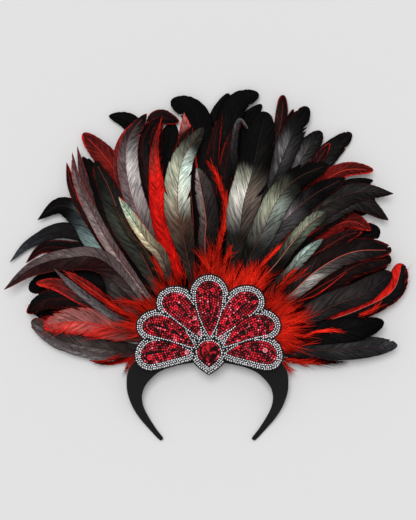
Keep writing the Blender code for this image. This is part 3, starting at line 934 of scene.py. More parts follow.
    SALMON = Plume(
        ((20, 9, 9), (24, 10, 10), (34, 12, 12), (150, 92, 90), (184, 120, 116)),
        ((20, 9, 9), (24, 10, 10), (34, 12, 12), (150, 92, 90), (184, 120, 116)), (176, 84, 80),
        (220, 44, 36), painted_sheen=(190, 140, 140), line=1.6, stops=(0.3, 0.7, 0.88, 0.93, 1.0),
    )
    PINK = Plume(
        ((72, 20, 18), (170, 34, 28), (184, 48, 41), (186, 42, 35), (150, 28, 23)),
        even((66, 22, 20), (134, 74, 70), (146, 88, 84), (156, 44, 39)), (226, 44, 35), (216, 28, 21),
        painted_sheen=(196, 150, 146), sheen_strength=0.6, line=1.8, shade=0.1, fringe=1.0, split=2.0,
    )
    ROSE = Plume(
        even((30, 16, 17), (60, 42, 43), (70, 52, 54), (60, 44, 46)),
        even((30, 16, 17), (52, 36, 37), (60, 44, 46), (52, 36, 38)), (130, 46, 40), (150, 34, 28),
    )
    RED_EDGED = Plume(
        even((30, 14, 14), (54, 36, 36), (112, 24, 21), (160, 31, 25)),
        even((28, 12, 12), (44, 28, 28), (80, 20, 18), (118, 25, 20)), (196, 44, 36), (226, 46, 38),
        painted_sheen=(120, 100, 100), line=2.0,
    )
    CURL = Plume(
        even((170, 22, 17), (206, 28, 21), (214, 30, 22), (196, 26, 20)),
        even((18, 11, 11), (16, 11, 12), (14, 11, 12), (12, 10, 11)), (200, 120, 110), (190, 30, 24),
        painted_sheen=(236, 60, 46), fringe=0.6,
    )
    TAUPE = Plume(
        even((46, 37, 36), (92, 83, 81), (94, 86, 84), (76, 67, 66)),
        even((40, 32, 31), (62, 53, 51), (58, 50, 48), (50, 42, 41)), (60, 46, 44), (110, 34, 29),
        painted_sheen=(130, 122, 119), sheen_strength=0.7,
    )
    GREY_BROWN = Plume(
        ((20, 15, 14), (54, 45, 43), (92, 80, 76), (124, 114, 110), (160, 152, 148)),
        ((14, 11, 10), (28, 22, 21), (36, 30, 29), (48, 41, 40), (84, 76, 73)), (196, 98, 84), (70, 50, 46),
        painted_sheen=(186, 178, 174), sheen_strength=0.85, split=1.6,
    )


@dataclass(frozen=True)
class Feather:
    """One cock feather.

    It runs from its seat, an angle round the palmette, by three sheet points to its tip. left and right are
    its vane widths, taper the share of its length that the tip narrows over, point how sharp the tip is and
    level its height in the pile.
    """

    seat: float
    first: Point
    second: Point
    third: Point
    tip: Point
    left: float
    right: float
    taper: float
    point: float
    level: float
    kind: Kind

    def line(self) -> Line:
        """The feather's quill line on the sheet."""
        return Line(np.array([seat_point(self.seat), self.first, self.second, self.third, self.tip]))


@dataclass(frozen=True)
class VaneGrid:
    """A vane's grid of barbs by points along each barb.

    ahead is the share of the feather's length at each point, vane its vane share, below 0 on the left, and
    reach how far its barb gets, in millimetres.
    """

    ahead: Array
    vane: Array
    reach: Array


@dataclass(frozen=True)
class VanePaint:
    """How the colours of a vane vary over its grid of barbs.

    Tone = the kind's tone turned towards the painted sheen colour by its sheen patches, times (1 + slow waves
    + differences from barb to barb + grain), times (1 - painted shade x v squared), and along the outline
      turned
    towards the edge colour.
    """

    patch_knots: int = 6
    patch_width: float = 2.2
    patch_middle: Range = (0.1, 0.5)
    side_sheen: Range = (0.2, 1.0)
    tip_loss: float = 0.7
    pale_power: float = 0.75
    streak_share: float = 0.35
    barb_streak: Range = (5.0, 0.2)
    grain_streak: Range = (2.5, 0.4)
    slow_waves: tuple[tuple[int, float], ...] = ((9, 0.14), (24, 0.05))
    barb_change: float = 0.04
    grain: float = 0.09
    narrowest: float = 1.2
    line_from: float = 0.3
    line_rise: float = 0.2
    line_knots: int = 11
    weak_line: Range = (0.1, 0.8)

    def patches(self, grid: VaneGrid, light: Array, rng: Random) -> Array:
        """How strong the painted sheen is: soft painted highlight patches along the quill, streaked from barb
        to barb.

        Patch = wave along the quill x cosine across it x the side's own strength x a loss towards the tip x
        a power of the tone's light x streak.

        Args:
            grid: The vane's grid.
            light: The tone's light at each point.
            rng: The feather's random draws.

        Returns:
            Strengths on the same grid.
        """
        wave = wander(rng, len(light), self.patch_knots)[:, None]
        across = np.cos(self.patch_width * (np.abs(grid.vane) - rng.uniform(*self.patch_middle)))
        side = np.where(grid.vane < 0.0, rng.uniform(*self.side_sheen), rng.uniform(*self.side_sheen))
        patch = np.maximum(wave * across, 0.0) * side * (1.0 - self.tip_loss * grid.ahead**3)
        barbs = rng.gamma(*self.barb_streak, (len(light), 1))
        grain = rng.gamma(*self.grain_streak, light.shape)
        streak = self.streak_share * barbs + (1.0 - self.streak_share) * grain
        return patch * (light / light.max()) ** self.pale_power * streak

    def outline(self, plume: Plume, grid: VaneGrid, rng: Random) -> Array:
        """How far each point takes the edge colour: a broken thin line, strong on one side of the feather.

        Args:
            plume: The feather's kind.
            grid: The vane's grid.
            rng: The feather's random draws.

        Returns:
            Shares on the same grid.
        """
        past = plume.line / np.maximum(grid.reach, self.narrowest * plume.line)
        toward = smooth_step((np.abs(grid.vane) - (1.0 - past)) / past)
        strong, weak = rng.permutation([1.0, rng.uniform(*self.weak_line)])
        lined = np.where(grid.vane < 0.0, strong, weak) * toward
        lined = lined * smooth_step((grid.ahead - self.line_from) / self.line_rise)
        return lined * np.clip(0.7 + 0.8 * wander(rng, len(lined), self.line_knots), 0.0, 1.0)[:, None]

    def colour(self, plume: Plume, grid: VaneGrid, rng: Random) -> Array:
        """Painted colours of a vane.

        Args:
            plume: The feather's kind.
            grid: The vane's grid.
            rng: The feather's random draws.

        Returns:
            Light value colours on the same grid.
        """
        sides = [
            np.stack([np.interp(grid.ahead, plume.stops, channel) for channel in linear(tones).T], axis=-1)
            for tones in (plume.left, plume.right)
        ]
        tone = np.where((grid.vane < 0.0)[..., None], sides[0], sides[1])
        patch = self.patches(grid, tone.mean(axis=-1), rng)
        # Painted sheen: turn the tone towards the sheen colour in the patches.
        tone = tone + (linear(plume.painted_sheen) - tone) * np.minimum(plume.sheen_strength * patch, 1.0)[..., None]
        slow = sum(wander(rng, len(tone), knots)[:, None] * size for knots, size in self.slow_waves)
        barb = rng.normal(0.0, self.barb_change, (len(tone), 1)) * np.sign(grid.vane)
        barb = barb + rng.normal(0.0, self.grain, grid.vane.shape)
        # Painted shade: each vane gets darker from the quill outwards, for the shadow where feathers overlap.
        tone = tone * ((1.0 + slow + barb) * (1.0 - plume.shade * grid.vane**2))[..., None]
        lined = self.outline(plume, grid, rng)
        return tone + (linear(plume.edge) - tone) * lined[..., None]


@dataclass
class FeatherRow:
    """A fan of feathers sewn to one strip, as grids of barb lines, quills and loose fringe barbs.

    A vane point at quill share s and vane share v stands at the quill line's share s + |v| x reach x sweep,
    moved sideways by v x reach, so each row of the grid lies along a barb. The reach is how far the barb gets
    before it meets the outline. Its height is the pile's height plus a crown of camber x (1 - v squared), a
    slow twist and a small random lift for each barb. The rows of the grid are packed towards the tip.
    """

    name: str
    row: int
    feathers: tuple[Feather, ...]
    rows: int = 90
    packing: float = 1.25
    vane_shares: tuple[float, ...] = (-1, -0.93, -0.75, -0.5, -0.25, -0.04, 0.04, 0.25, 0.5, 0.75, 0.93, 1)
    sweep: float = 1.8
    root_width: float = 0.22
    full_width_at: float = 0.5
    camber: float = 0.13
    twist: float = 0.08
    barb_lift: float = 0.06
    groove: float = 0.25
    groove_width: float = 0.1
    thickness: float = 0.22
    lowest: float = 0.35
    barb_pattern: float = 10.0
    ragged: float = 0.02
    splits_each: float = 4.0
    split_depth: Range = (0.08, 0.34)
    quill_width: float = 0.5
    quill_end: float = 0.965
    quill_lift: float = 0.1
    quill_knots: int = 9
    fringe_each: float = 0.9
    fringe_along: Range = (0.25, 0.93)
    fringe_half: tuple[float, float, float] = (0.36, 0.24, 0.05)
    paint: VanePaint = VanePaint()
    surface: Surface = field(default_factory=Surface)

    def width(self, shares: Array, feather: Feather) -> Array:
        """A feather's width along its length: a smooth rise from the root and a power curve at the tip.

        Args:
            shares: Shares of the length.
            feather: The feather.

        Returns:
            Shares of the full width.
        """
        spread = self.root_width + (1.0 - self.root_width) * smooth_step(shares / self.full_width_at)
        past = np.clip((shares - (1.0 - feather.taper)) / feather.taper, 0.0, 1.0)
        return spread * np.maximum(1.0 - past**2, 0.0) ** feather.point

    def reach(self, feather: Feather, shares: Array, full: Array | float, length: float) -> Array:
        """How far a swept barb gets before it meets the outline, found by halving steps.

        Args:
            feather: The feather.
            shares: The shares of the length that the barbs start at.
            full: The full width of the vane on each barb's side.
            length: The feather's length.

        Returns:
            A distance for each barb, in millimetres.
        """
        near = np.zeros_like(shares)
        far = np.broadcast_to(full, shares.shape).astype(float)
        for _ in range(16):
            middle = 0.5 * (near + far)
            inside = middle < full * self.width(shares + middle * self.sweep / length, feather)
            near = np.where(inside, middle, near)
            far = np.where(inside, far, middle)
        return 0.5 * (near + far)

    def splits(self, feather: Feather, rng: Random) -> Array:
        """How much each barb falls short of the outline: a little everywhere and a lot at a few splits.

        Args:
            feather: The feather.
            rng: Its random draws.

        Returns:
            Shares of the reach, as rows by vane shares.
        """
        short = np.abs(rng.normal(0.0, self.ragged, (self.rows, 2)))
        count = rng.poisson(self.splits_each * feather.kind.value.split)
        at = rng.integers(int(self.rows * 0.35), self.rows - 6, count)
        side = rng.integers(0, 2, count)
        depth = rng.uniform(*self.split_depth, count)
        # A split is deepest at its own barb and half as deep at the next.
        for spread, share in ((0, 1.0), (1, 0.5)):
            short[at + spread, side] += depth * share
        sides = (np.array(self.vane_shares) > 0.0).astype(int)
        return short[:, sides]

    def vane(self, feather: Feather, line: Line, rng: Random) -> None:
        """Add the feather's closed vane.

        Args:
            feather: The feather.
            line: Its quill line.
            rng: Its random draws.
        """
        shares = 1.0 - (1.0 - np.linspace(0.0, 1.0, self.rows)) ** self.packing
        vane = np.array(self.vane_shares)[None, :]
        length = line.length
        left = self.reach(feather, shares, feather.left, length)
        right = self.reach(feather, shares, feather.right, length)
        reach = np.where(vane < 0.0, left[:, None], right[:, None])
        reach = reach * (1.0 - self.splits(feather, rng) * vane**2)
        ahead = shares[:, None] + np.abs(vane) * reach * self.sweep / length
        flat = line.at(ahead) - line.left(ahead) * (vane * reach)[..., None]
        barb_lift = rng.normal(0.0, self.barb_lift, self.rows)[:, None] * np.abs(vane)
        twist = self.twist * wander(rng, self.rows, 3)[:, None] * vane * reach
        crown = self.camber * (1.0 - vane**2) * reach
        groove = -self.groove * (np.abs(vane) < self.groove_width)
        height = PILE.height(flat, feather.level, self.row) + crown + twist + barb_lift + groove
        top = with_height(flat, np.maximum(height, self.lowest))
        under = top[:, -2:0:-1].copy()
        under[..., 2] -= self.thickness
        wide = np.broadcast_to(vane, ahead.shape)
        grid = VaneGrid(np.minimum(ahead, 1.0), wide, reach)
        tone = self.paint.colour(feather.kind.value, grid, rng)
        run = (shares[:, None] + 0.0 * vane) * length / self.barb_pattern
        place = np.stack([run, 0.5 * wide], axis=-1)
        place, tone = (np.concatenate([half, half[:, -2:0:-1]], axis=1) for half in (place, tone))
        self.surface.loft(np.concatenate([top, under], axis=1), place=place, colour=tone)

    def quill(self, feather: Feather, line: Line, rng: Random) -> None:
        """Add the quill: a four-sided rod that thins towards the tip, along the top of the vane.

        Args:
            feather: The feather.
            line: Its quill line.
            rng: Its random draws.
        """
        shares = np.linspace(0.0, self.quill_end, 36)
        middle = line.at(shares)
        side = line.left(shares)
        thick = self.quill_width * (1.0 - 0.7 * shares)[:, None]
        reach = 0.5 * (feather.left + feather.right) * self.width(shares, feather)
        rise = PILE.height(middle, feather.level, self.row) + self.camber * reach + self.quill_lift
        corners = ((side, 0.0), (side * 0.0, 0.6), (-side, 0.0), (side * 0.0, -0.4))
        rings = [with_height(middle + out * thick, rise + lift * thick[:, 0]) for out, lift in corners]
        tone = linear(feather.kind.value.quill) * (0.55 + 0.45 * smooth_step((shares - 0.2) / 0.3))[:, None]
        tone = tone * (1.0 + 0.12 * wander(rng, len(shares), self.quill_knots))[:, None]
        self.surface.loft(np.stack(rings, axis=1), colour=np.repeat(tone[:, None, :], 4, axis=1))

    def fringe(self, feather: Feather, line: Line, rng: Random) -> None:
        """Add loose barbs past the vane's edges: tapered blades of three joints, bent towards the tip.

        A joint at rate t stands 0.7 x long x t outside the barb's start and lies forward by the sweep x (how
        far outside the quill it is + 0.4 x long x t squared).

        Args:
            feather: The feather.
            line: Its quill line.
            rng: Its random draws.
        """
        plume: Plume = feather.kind.value
        count = int(line.length * self.fringe_each * plume.fringe)
        shares = rng.uniform(*self.fringe_along, count)
        side = rng.choice((-1.0, 1.0), count)
        full = np.where(side < 0.0, feather.left, feather.right)
        reach = self.reach(feather, shares, full, line.length)
        start = rng.uniform(0.6, 0.95, count)
        long = rng.gamma(2.0, 0.8, count) * (0.5 + plume.fringe) + (1.0 - start) * reach
        rates = np.array([0.0, 0.5, 1.0])
        outward = (start * reach)[:, None] + long[:, None] * rates * 0.7
        ahead = shares[:, None] + (outward + long[:, None] * rates**2 * 0.4) * self.sweep / line.length
        flat = line.at(ahead) - line.left(ahead) * (side[:, None] * outward)[..., None]
        half = np.array(self.fringe_half) * rng.uniform(0.6, 1.2, count)[:, None]
        wide = with_height(line.along(ahead) * half[..., None], 0.0)
        lift = PILE.height(flat, feather.level, self.row) + rng.uniform(-0.3, 0.8, count)[:, None]
        tone = linear(plume.edge) * rng.uniform(0.45, 1.1, count)[:, None]
        self.surface.blades(with_height(flat, np.maximum(lift, self.lowest)), wide, tone)

    def build(self, material: Material) -> None:
        """Build every feather of the row into one piece.

        Args:
            material: The feathers' finish.
        """
        for number, feather in enumerate(self.feathers):
            rng = np.random.default_rng(1000 * (self.row + 1) + number)
            line = feather.line()
            self.vane(feather, line, rng)
            self.quill(feather, line, rng)
            self.fringe(feather, line, rng)
        self.surface.build(f"plumes_{self.name}", material, "plume", (f"feather_row_{self.name}",))


# Feather rows, from the back to the front: seat, first, second, third, tip, left, right, taper, point, level
# and kind.
BACK_FEATHERS = (
    (164, (112, 292), (88, 281), (60, 277), (27, 290), 14, 14, 0.3, 0.45, 0.0, Kind.BLACK),
    (140, (125, 250), (108, 215), (95, 185), (88, 165), 13, 13, 0.3, 0.5, 0.0, Kind.BLACK),
    (125, (150, 225), (142, 180), (138, 150), (140, 125), 13, 13, 0.3, 0.5, 0.6, Kind.BLACK),
    (108, (176, 220), (168, 180), (167, 150), (173, 122), 16, 14, 0.3, 0.45, 0.0, Kind.BLACK),
    (90, (208, 210), (210, 170), (214, 140), (219, 112), 14, 14, 0.3, 0.5, 0.6, Kind.BLACK),
    (80, (232, 210), (240, 170), (246, 140), (254, 112), 14, 14, 0.3, 0.5, 0.0, Kind.BLACK),
    (68, (255, 215), (272, 175), (284, 148), (296, 120), 14, 14, 0.3, 0.5, 0.6, Kind.BLACK),
    (55, (280, 225), (302, 192), (318, 168), (336, 146), 14, 14, 0.3, 0.5, 0.0, Kind.BLACK),
    (42, (292, 245), (320, 220), (348, 206), (377, 200), 18, 16, 0.2, 0.4, 0.6, Kind.BLACK),
    (30, (300, 264), (330, 246), (356, 237), (382, 230), 16, 16, 0.25, 0.45, 0.0, Kind.BLACK),
    (16, (304, 296), (335, 283), (362, 272), (389, 260), 15, 15, 0.25, 0.45, 0.6, Kind.BLACK),
    (5, (310, 322), (340, 314), (365, 305), (388, 294), 13, 13, 0.3, 0.5, 0.0, Kind.BLACK),
    (-6, (302, 345), (330, 346), (355, 346), (380, 344), 12, 13, 0.3, 0.5, 0.6, Kind.BLACK),
    (176, (118, 322), (90, 316), (60, 310), (28, 305), 16, 16, 0.25, 0.45, 0.0, Kind.BLACK),
    (186, (116, 351), (88, 347), (58, 340), (30, 321), 10, 14, 0.3, 0.45, 1.2, Kind.TAUPE),
    (160, (100, 262), (70, 249), (42, 248), (24, 263), 9, 9, 0.4, 0.9, 1.0, Kind.BLACK_RED),
    (82, (232, 205), (239, 155), (247, 122), (262, 103), 11, 11, 0.3, 0.5, 1.5, Kind.BLACK),
    (188, (112, 358), (79, 353), (49, 341), (29.5, 326.5), 4, 4, 0.3, 0.8, 3.0, Kind.GREY),
    (190, (121, 362), (110, 364), (100, 363), (88, 361), 2, 2, 0.3, 0.8, 2.0, Kind.RED),
    (71, (262, 212), (282, 150), (288, 125), (294, 108), 6, 6, 0.25, 0.5, 2.4, Kind.BLACK_RED),
    (131, (138, 205), (136, 163), (130, 127), (108, 114.5), 8, 16, 0.25, 0.6, 2.0, Kind.BLACK),
    (122, (157, 205), (151, 150), (157, 118), (179, 120.5), 11, 11, 0.25, 0.5, 2.6, Kind.BLACK_RED),
    (88, (214, 210), (215, 160), (218, 120), (229, 92), 12, 11, 0.3, 0.5, 2.0, Kind.BLACK),
    (58, (280, 218), (308, 183), (328, 156), (352.5, 132), 13, 11, 0.25, 0.45, 2.0, Kind.SHEEN),
    (155, (105, 250), (65, 231), (30, 243), (8, 262.5), 8, 10, 0.45, 0.9, 2.2, Kind.BLUE_TIP),
    (62, (270, 218), (291, 178), (305, 154), (322, 130.5), 14, 13, 0.25, 0.45, 3.0, Kind.SHEEN),
    (74, (258, 212), (275, 150), (282, 118), (283.5, 94), 7, 6, 0.12, 0.35, 3.2, Kind.MAROON),
    (98, (204, 212), (202, 165), (195, 115), (171, 99), 16, 16, 0.26, 0.45, 3.0, Kind.BLACK),
    (84, (222, 205), (226, 150), (236, 106), (259, 92.5), 15, 13, 0.28, 0.45, 3.3, Kind.BLACK),
    (124, (152, 205), (143, 155), (146, 130), (160, 116), 8, 10, 0.3, 0.6, 3.4, Kind.BLACK_RED),
    (134, (138, 225), (125, 190), (106, 158), (82, 132.5), 13, 12, 0.27, 0.45, 3.0, Kind.RED_DARK),
    (150, (102, 246), (84, 219), (60, 205), (36, 220), 15, 13, 0.38, 1.0, 3.4, Kind.BLACK_GLOSS),
    (33, (300, 252), (328, 230), (352, 221), (372, 230), 12, 9, 0.3, 0.6, 3.0, Kind.RED_DARK),
)
MIDDLE_FEATHERS = (
    (172, (112, 318), (80, 303), (50, 299), (26, 313), 12, 12, 0.4, 0.5, 4.0, Kind.BLACK_RED),
    (144, (122, 246), (104, 205), (92, 178), (82, 156), 8, 10, 0.25, 0.6, 4.0, Kind.BLACK),
    (152, (110, 250), (87, 215), (72, 188), (66, 162), 6, 7, 0.3, 0.8, 4.6, Kind.MAROON),
    (68, (258, 218), (277, 172), (291, 138), (308, 106), 13, 12, 0.22, 0.42, 4.1, Kind.SHEEN),
    (87, (215, 205), (213, 160), (216, 135), (222, 113), 7, 7, 0.3, 0.7, 4.6, Kind.BLACK_RED),
    (85, (222, 200), (227, 160), (232, 138), (241, 120), 7, 8, 0.3, 0.7, 5.2, Kind.BLACK_RED),
    (104, (192, 205), (186, 160), (185, 135), (184, 112), 8, 11, 0.2, 1.0, 4.0, Kind.SALMON),
    (47, (292, 228), (322, 200), (350, 186), (374, 180), 8, 8, 0.2, 0.6, 4.0, Kind.BLACK),
    (35, (298, 248), (318, 230), (334, 220), (350, 214), 7, 7, 0.3, 0.6, 4.4, Kind.MAROON),
    (4, (318, 324), (361, 309), (393, 291), (403, 263.5), 11, 11, 0.15, 0.4, 4.0, Kind.CURL),
    (60, (275, 220), (300, 185), (315, 165), (330, 143), 8, 8, 0.3, 0.5, 4.8, Kind.MAROON),
    (-8, (298, 352), (335, 350), (368, 348), (398, 345.5), 13, 11, 0.35, 0.55, 5.0, Kind.SLATE),
    (170, (112, 312), (82, 297), (58, 285), (36, 283), 8, 8, 0.35, 0.5, 5.1, Kind.RED_EDGED),
    (146, (118, 248), (98, 210), (84, 180), (76.5, 145), 5, 6, 0.3, 1.0, 5.0, Kind.ROSE),
    (142, (126, 252), (108, 215), (98, 185), (88, 158), 8, 8, 0.25, 0.6, 5.6, Kind.BLACK),
    (130, (136, 215), (119, 170), (124, 138), (147, 113), 6, 9, 0.3, 0.7, 5.0, Kind.RED_EDGED),
    (108, (185, 222), (180, 175), (182, 148), (192, 126), 9, 8, 0.3, 0.5, 5.0, Kind.MAROON),
    (83, (236, 200), (234, 150), (239, 120), (251, 133), 4, 4, 0.3, 0.9, 5.8, Kind.HOOK),
    (50, (288, 225), (318, 187), (345, 170), (374, 170), 9, 8, 0.25, 0.45, 5.2, Kind.RED_DARK),
    (18, (302, 298), (335, 278), (362, 263), (392, 259), 11, 12, 0.2, 0.42, 5.0, Kind.MAROON),
    (38, (292, 245), (322, 216), (356, 201), (389, 220), 13, 12, 0.33, 0.75, 5.4, Kind.DARK_GREY),
    (-2, (302, 336), (332, 332), (360, 329), (384, 322), 13, 12, 0.3, 0.5, 6.2, Kind.BLACK),
    (148, (115, 252), (92, 212), (77, 180), (72, 152), 7, 6, 0.35, 0.9, 6.4, Kind.MAUVE_BAND),
    (128, (139, 217), (127, 175), (128, 140), (146, 113.5), 9, 13, 0.3, 0.6, 6.2, Kind.SILVER),
    (44, (292, 232), (325, 205), (358, 192), (394, 193.5), 12, 13, 0.32, 0.9, 6.4, Kind.DARK_GREY),
    (155, (125, 300), (115, 280), (108, 270), (98, 260), 12, 12, 0.4, 0.6, 6.6, Kind.DARK_GREY),
    (160, (108, 264), (68, 258), (32, 268), (3.5, 290), 14, 10, 0.5, 0.9, 7.0, Kind.MAUVE),
    (140, (142, 255), (124, 225), (110, 190), (95, 161), 13, 9, 0.3, 0.5, 7.2, Kind.GREEN_BLACK),
    (115, (165, 232), (157, 185), (155, 148), (163, 112), 12, 11, 0.7, 1.5, 7.0, Kind.RED),
    (30, (300, 266), (325, 248), (345, 236), (362, 231), 8, 9, 0.3, 0.5, 7.0, Kind.MAROON),
    (178, (130, 334), (97, 324), (68, 321.5), (44, 327), 14, 15, 0.4, 0.5, 7.2, Kind.PINK),
    (10, (305, 319), (335, 305), (366, 293), (392, 273), 15, 9, 0.25, 0.45, 7.2, Kind.DARK_GREY),
    (166, (122, 312), (103, 298), (83, 283), (63, 270), 4, 5, 0.3, 0.8, 7.6, Kind.RED_DARK),
)
FRONT_FEATHERS = (
    (134, (150, 258), (135, 238), (124, 222), (113, 204), 5, 5, 0.3, 0.7, 8.0, Kind.OLIVE),
    (92, (205, 242), (206, 222), (203, 200), (197, 168), 7, 14, 0.3, 0.6, 8.0, Kind.GREY_BROWN),
    (168, (116, 318), (97, 305), (76, 288), (54, 268), 4, 4, 0.3, 1.0, 8.4, Kind.GREY),
    (58, (285, 243), (298, 230), (310, 217), (322, 204), 5, 5, 0.5, 0.6, 8.4, Kind.OLIVE),
    (45, (286, 275), (300, 258), (311, 247), (322, 239), 5, 7, 0.3, 0.6, 8.8, Kind.TEAL),
    (62, (268, 240), (290, 215), (315, 194), (345, 178), 12, 13, 0.4, 0.55, 9.0, Kind.LILAC),
    (22, (288, 297), (318, 269), (352, 252), (391, 250), 13, 11, 0.25, 0.45, 9.0, Kind.SALMON_QUILL),
    (132, (163, 260), (147, 240), (132, 218), (119, 197), 6, 7, 0.35, 0.8, 9.0, Kind.MINT),
    (104, (184, 240), (178, 205), (182, 163), (203, 128), 14, 13, 0.4, 0.6, 10.0, Kind.CREAM),
    (78, (238, 240), (243, 205), (253, 168), (265, 112), 16, 17, 0.2, 0.45, 10.0, Kind.MOSS),
    (68, (262, 232), (277, 200), (298, 178), (328, 165), 13, 14, 0.35, 0.5, 10.6, Kind.JADE),
    (55, (274, 266), (290, 245), (306, 226), (325, 212), 7, 8, 0.12, 0.5, 11.0, Kind.IVORY),
)


# Half of the band from its middle to the left tip: outer x, outer y, inner x, inner y, underside, thickness.
BAND_SECTIONS = (
    (207.5, 342.0, 207.5, 362.5, 15.5, 4.2),
    (190.0, 342.4, 191.0, 363.2, 15.5, 4.2),
    (170.0, 345.5, 174.0, 366.4, 15.5, 4.2),
    (151.0, 351.0, 160.0, 371.6, 15.5, 4.2),
    (137.0, 359.0, 151.0, 378.8, 15.2, 4.2),
    (128.0, 371.0, 145.2, 386.0, 14.4, 4.2),
    (126.3, 385.0, 142.6, 392.5, 12.4, 4.2),
    (127.8, 396.0, 141.8, 399.5, 10.0, 4.2),
    (132.5, 408.5, 143.6, 408.5, 6.8, 4.1),
    (139.7, 420.0, 148.6, 418.8, 3.2, 4.0),
    (147.2, 429.0, 153.8, 427.3, 0.7, 3.8),
    (151.5, 433.8, 156.8, 431.8, 0.0, 3.7),
    (157.2, 439.9, 161.4, 437.6, 0.0, 3.6),
    (160.2, 442.4, 163.0, 440.2, 0.0, 3.2),
)


@dataclass
class HairBand:
    """The felt-covered horseshoe band, a loft of rounded sections from one tip over the middle to the other.

    A section point stands at a share of the way from the outer to the inner edge and a share of the way from
    the underside to the top; its corners are quarter circles of the edge radius.
    """

    edge: float = 1.3
    most_edge: float = 0.45
    stations: int = 161
    corner_points: int = 5

    def sections(self) -> Array:
        """Sections at even shares of the way along the whole band, the other half mirrored from the table.

        Returns:
            Rows laid out as the table's.
        """
        half = np.array(BAND_SECTIONS)
        other = half[:0:-1].copy()
        other[:, [0, 2]] = 2 * SHEET_CENTRE[0] - other[:, [0, 2]]
        rows = Line(np.vstack([other, half])).at(np.linspace(0.0, 1.0, self.stations))
        rows[:, 4] = np.maximum(rows[:, 4], 0.0)
        return rows

    def build(self, material: Material) -> None:
        """Build the band.

        Args:
            material: Its finish.
        """
        rows = self.sections()
        outer, inner = rows[:, 0:2], rows[:, 2:4]
        width = np.linalg.norm(inner - outer, axis=1)
        across = (inner - outer) / width[:, None]
        low, high = rows[:, 4], rows[:, 4] + rows[:, 5]
        radius = np.minimum(self.edge, self.most_edge * np.minimum(width, rows[:, 5]))
        quarter = np.linspace(0.0, math.pi / 2, self.corner_points)
        # Each corner: whether it is the inner one, whether it is the upper one, and where its quarter starts.
        corners = ((1, 1, 0.0), (0, 1, 0.5 * math.pi), (0, 0, math.pi), (1, 0, 1.5 * math.pi))
        rings = []
        for inward, upward, start in corners:
            for angle in quarter + start:
                side = (width - radius if inward else radius) + radius * math.cos(angle)
                rise = (high - radius if upward else low + radius) + radius * math.sin(angle)
                rings.append(with_height(outer + across * side[:, None], rise))
        surface = Surface()
        surface.loft(np.stack(rings, axis=1))
        surface.build("felt_band", material, "felt", ("headband",))


# The palmette's red fields: inner point, outer end, half width, how far the middle bows to the left, and the
# share of the length at which it is widest.
FIELDS = (
    ((209.8, 336.0), (209.0, 281.0), 13.0, 0.0, 0.76),
    ((200.5, 337.0), (166.2, 295.4), 12.0, -3.6, 0.76),
    ((217.0, 337.0), (255.4, 294.9), 12.0, 3.6, 0.76),
    ((194.5, 347.0), (143.6, 323.2), 10.7, -5.4, 0.76),
    ((224.0, 346.0), (273.5, 322.4), 10.8, 5.4, 0.76),
    ((191.5, 353.0), (141.3, 355.5), 11.0, -3.6, 0.76),
    ((226.0, 353.0), (276.5, 355.5), 11.0, 3.6, 0.76),
    ((209.0, 366.5), (209.0, 341.0), 11.6, 0.0, 0.55),
)
STONE_OUTLINE = ((209.0, 362.0), (209.0, 343.5), 7.4, 0.0, 0.6)

# Larger sequins on the red fields: x, y, radius, and whether it is painted pale as a highlight.
LARGE_SEQUINS = (
    (176, 307, 2.4, False),
    (195, 318, 2.2, True),
    (200, 333, 2.4, True),
    (221, 337, 2.3, True),
    (187, 352, 2.5, True),
    (165, 310, 2.1, False),
    (213, 290, 2.2, False),
    (201, 290, 2.0, False),
    (254, 302, 2.2, False),
    (238, 317, 2.1, False),
    (255, 325, 2.2, False),
    (271, 328, 2.0, False),
    (265, 336, 2.1, False),
    (265, 350, 2.5, True),
    (251, 334, 2.0, False),
    (150, 357, 2.8, False),
    (211, 333, 2.0, False),
)


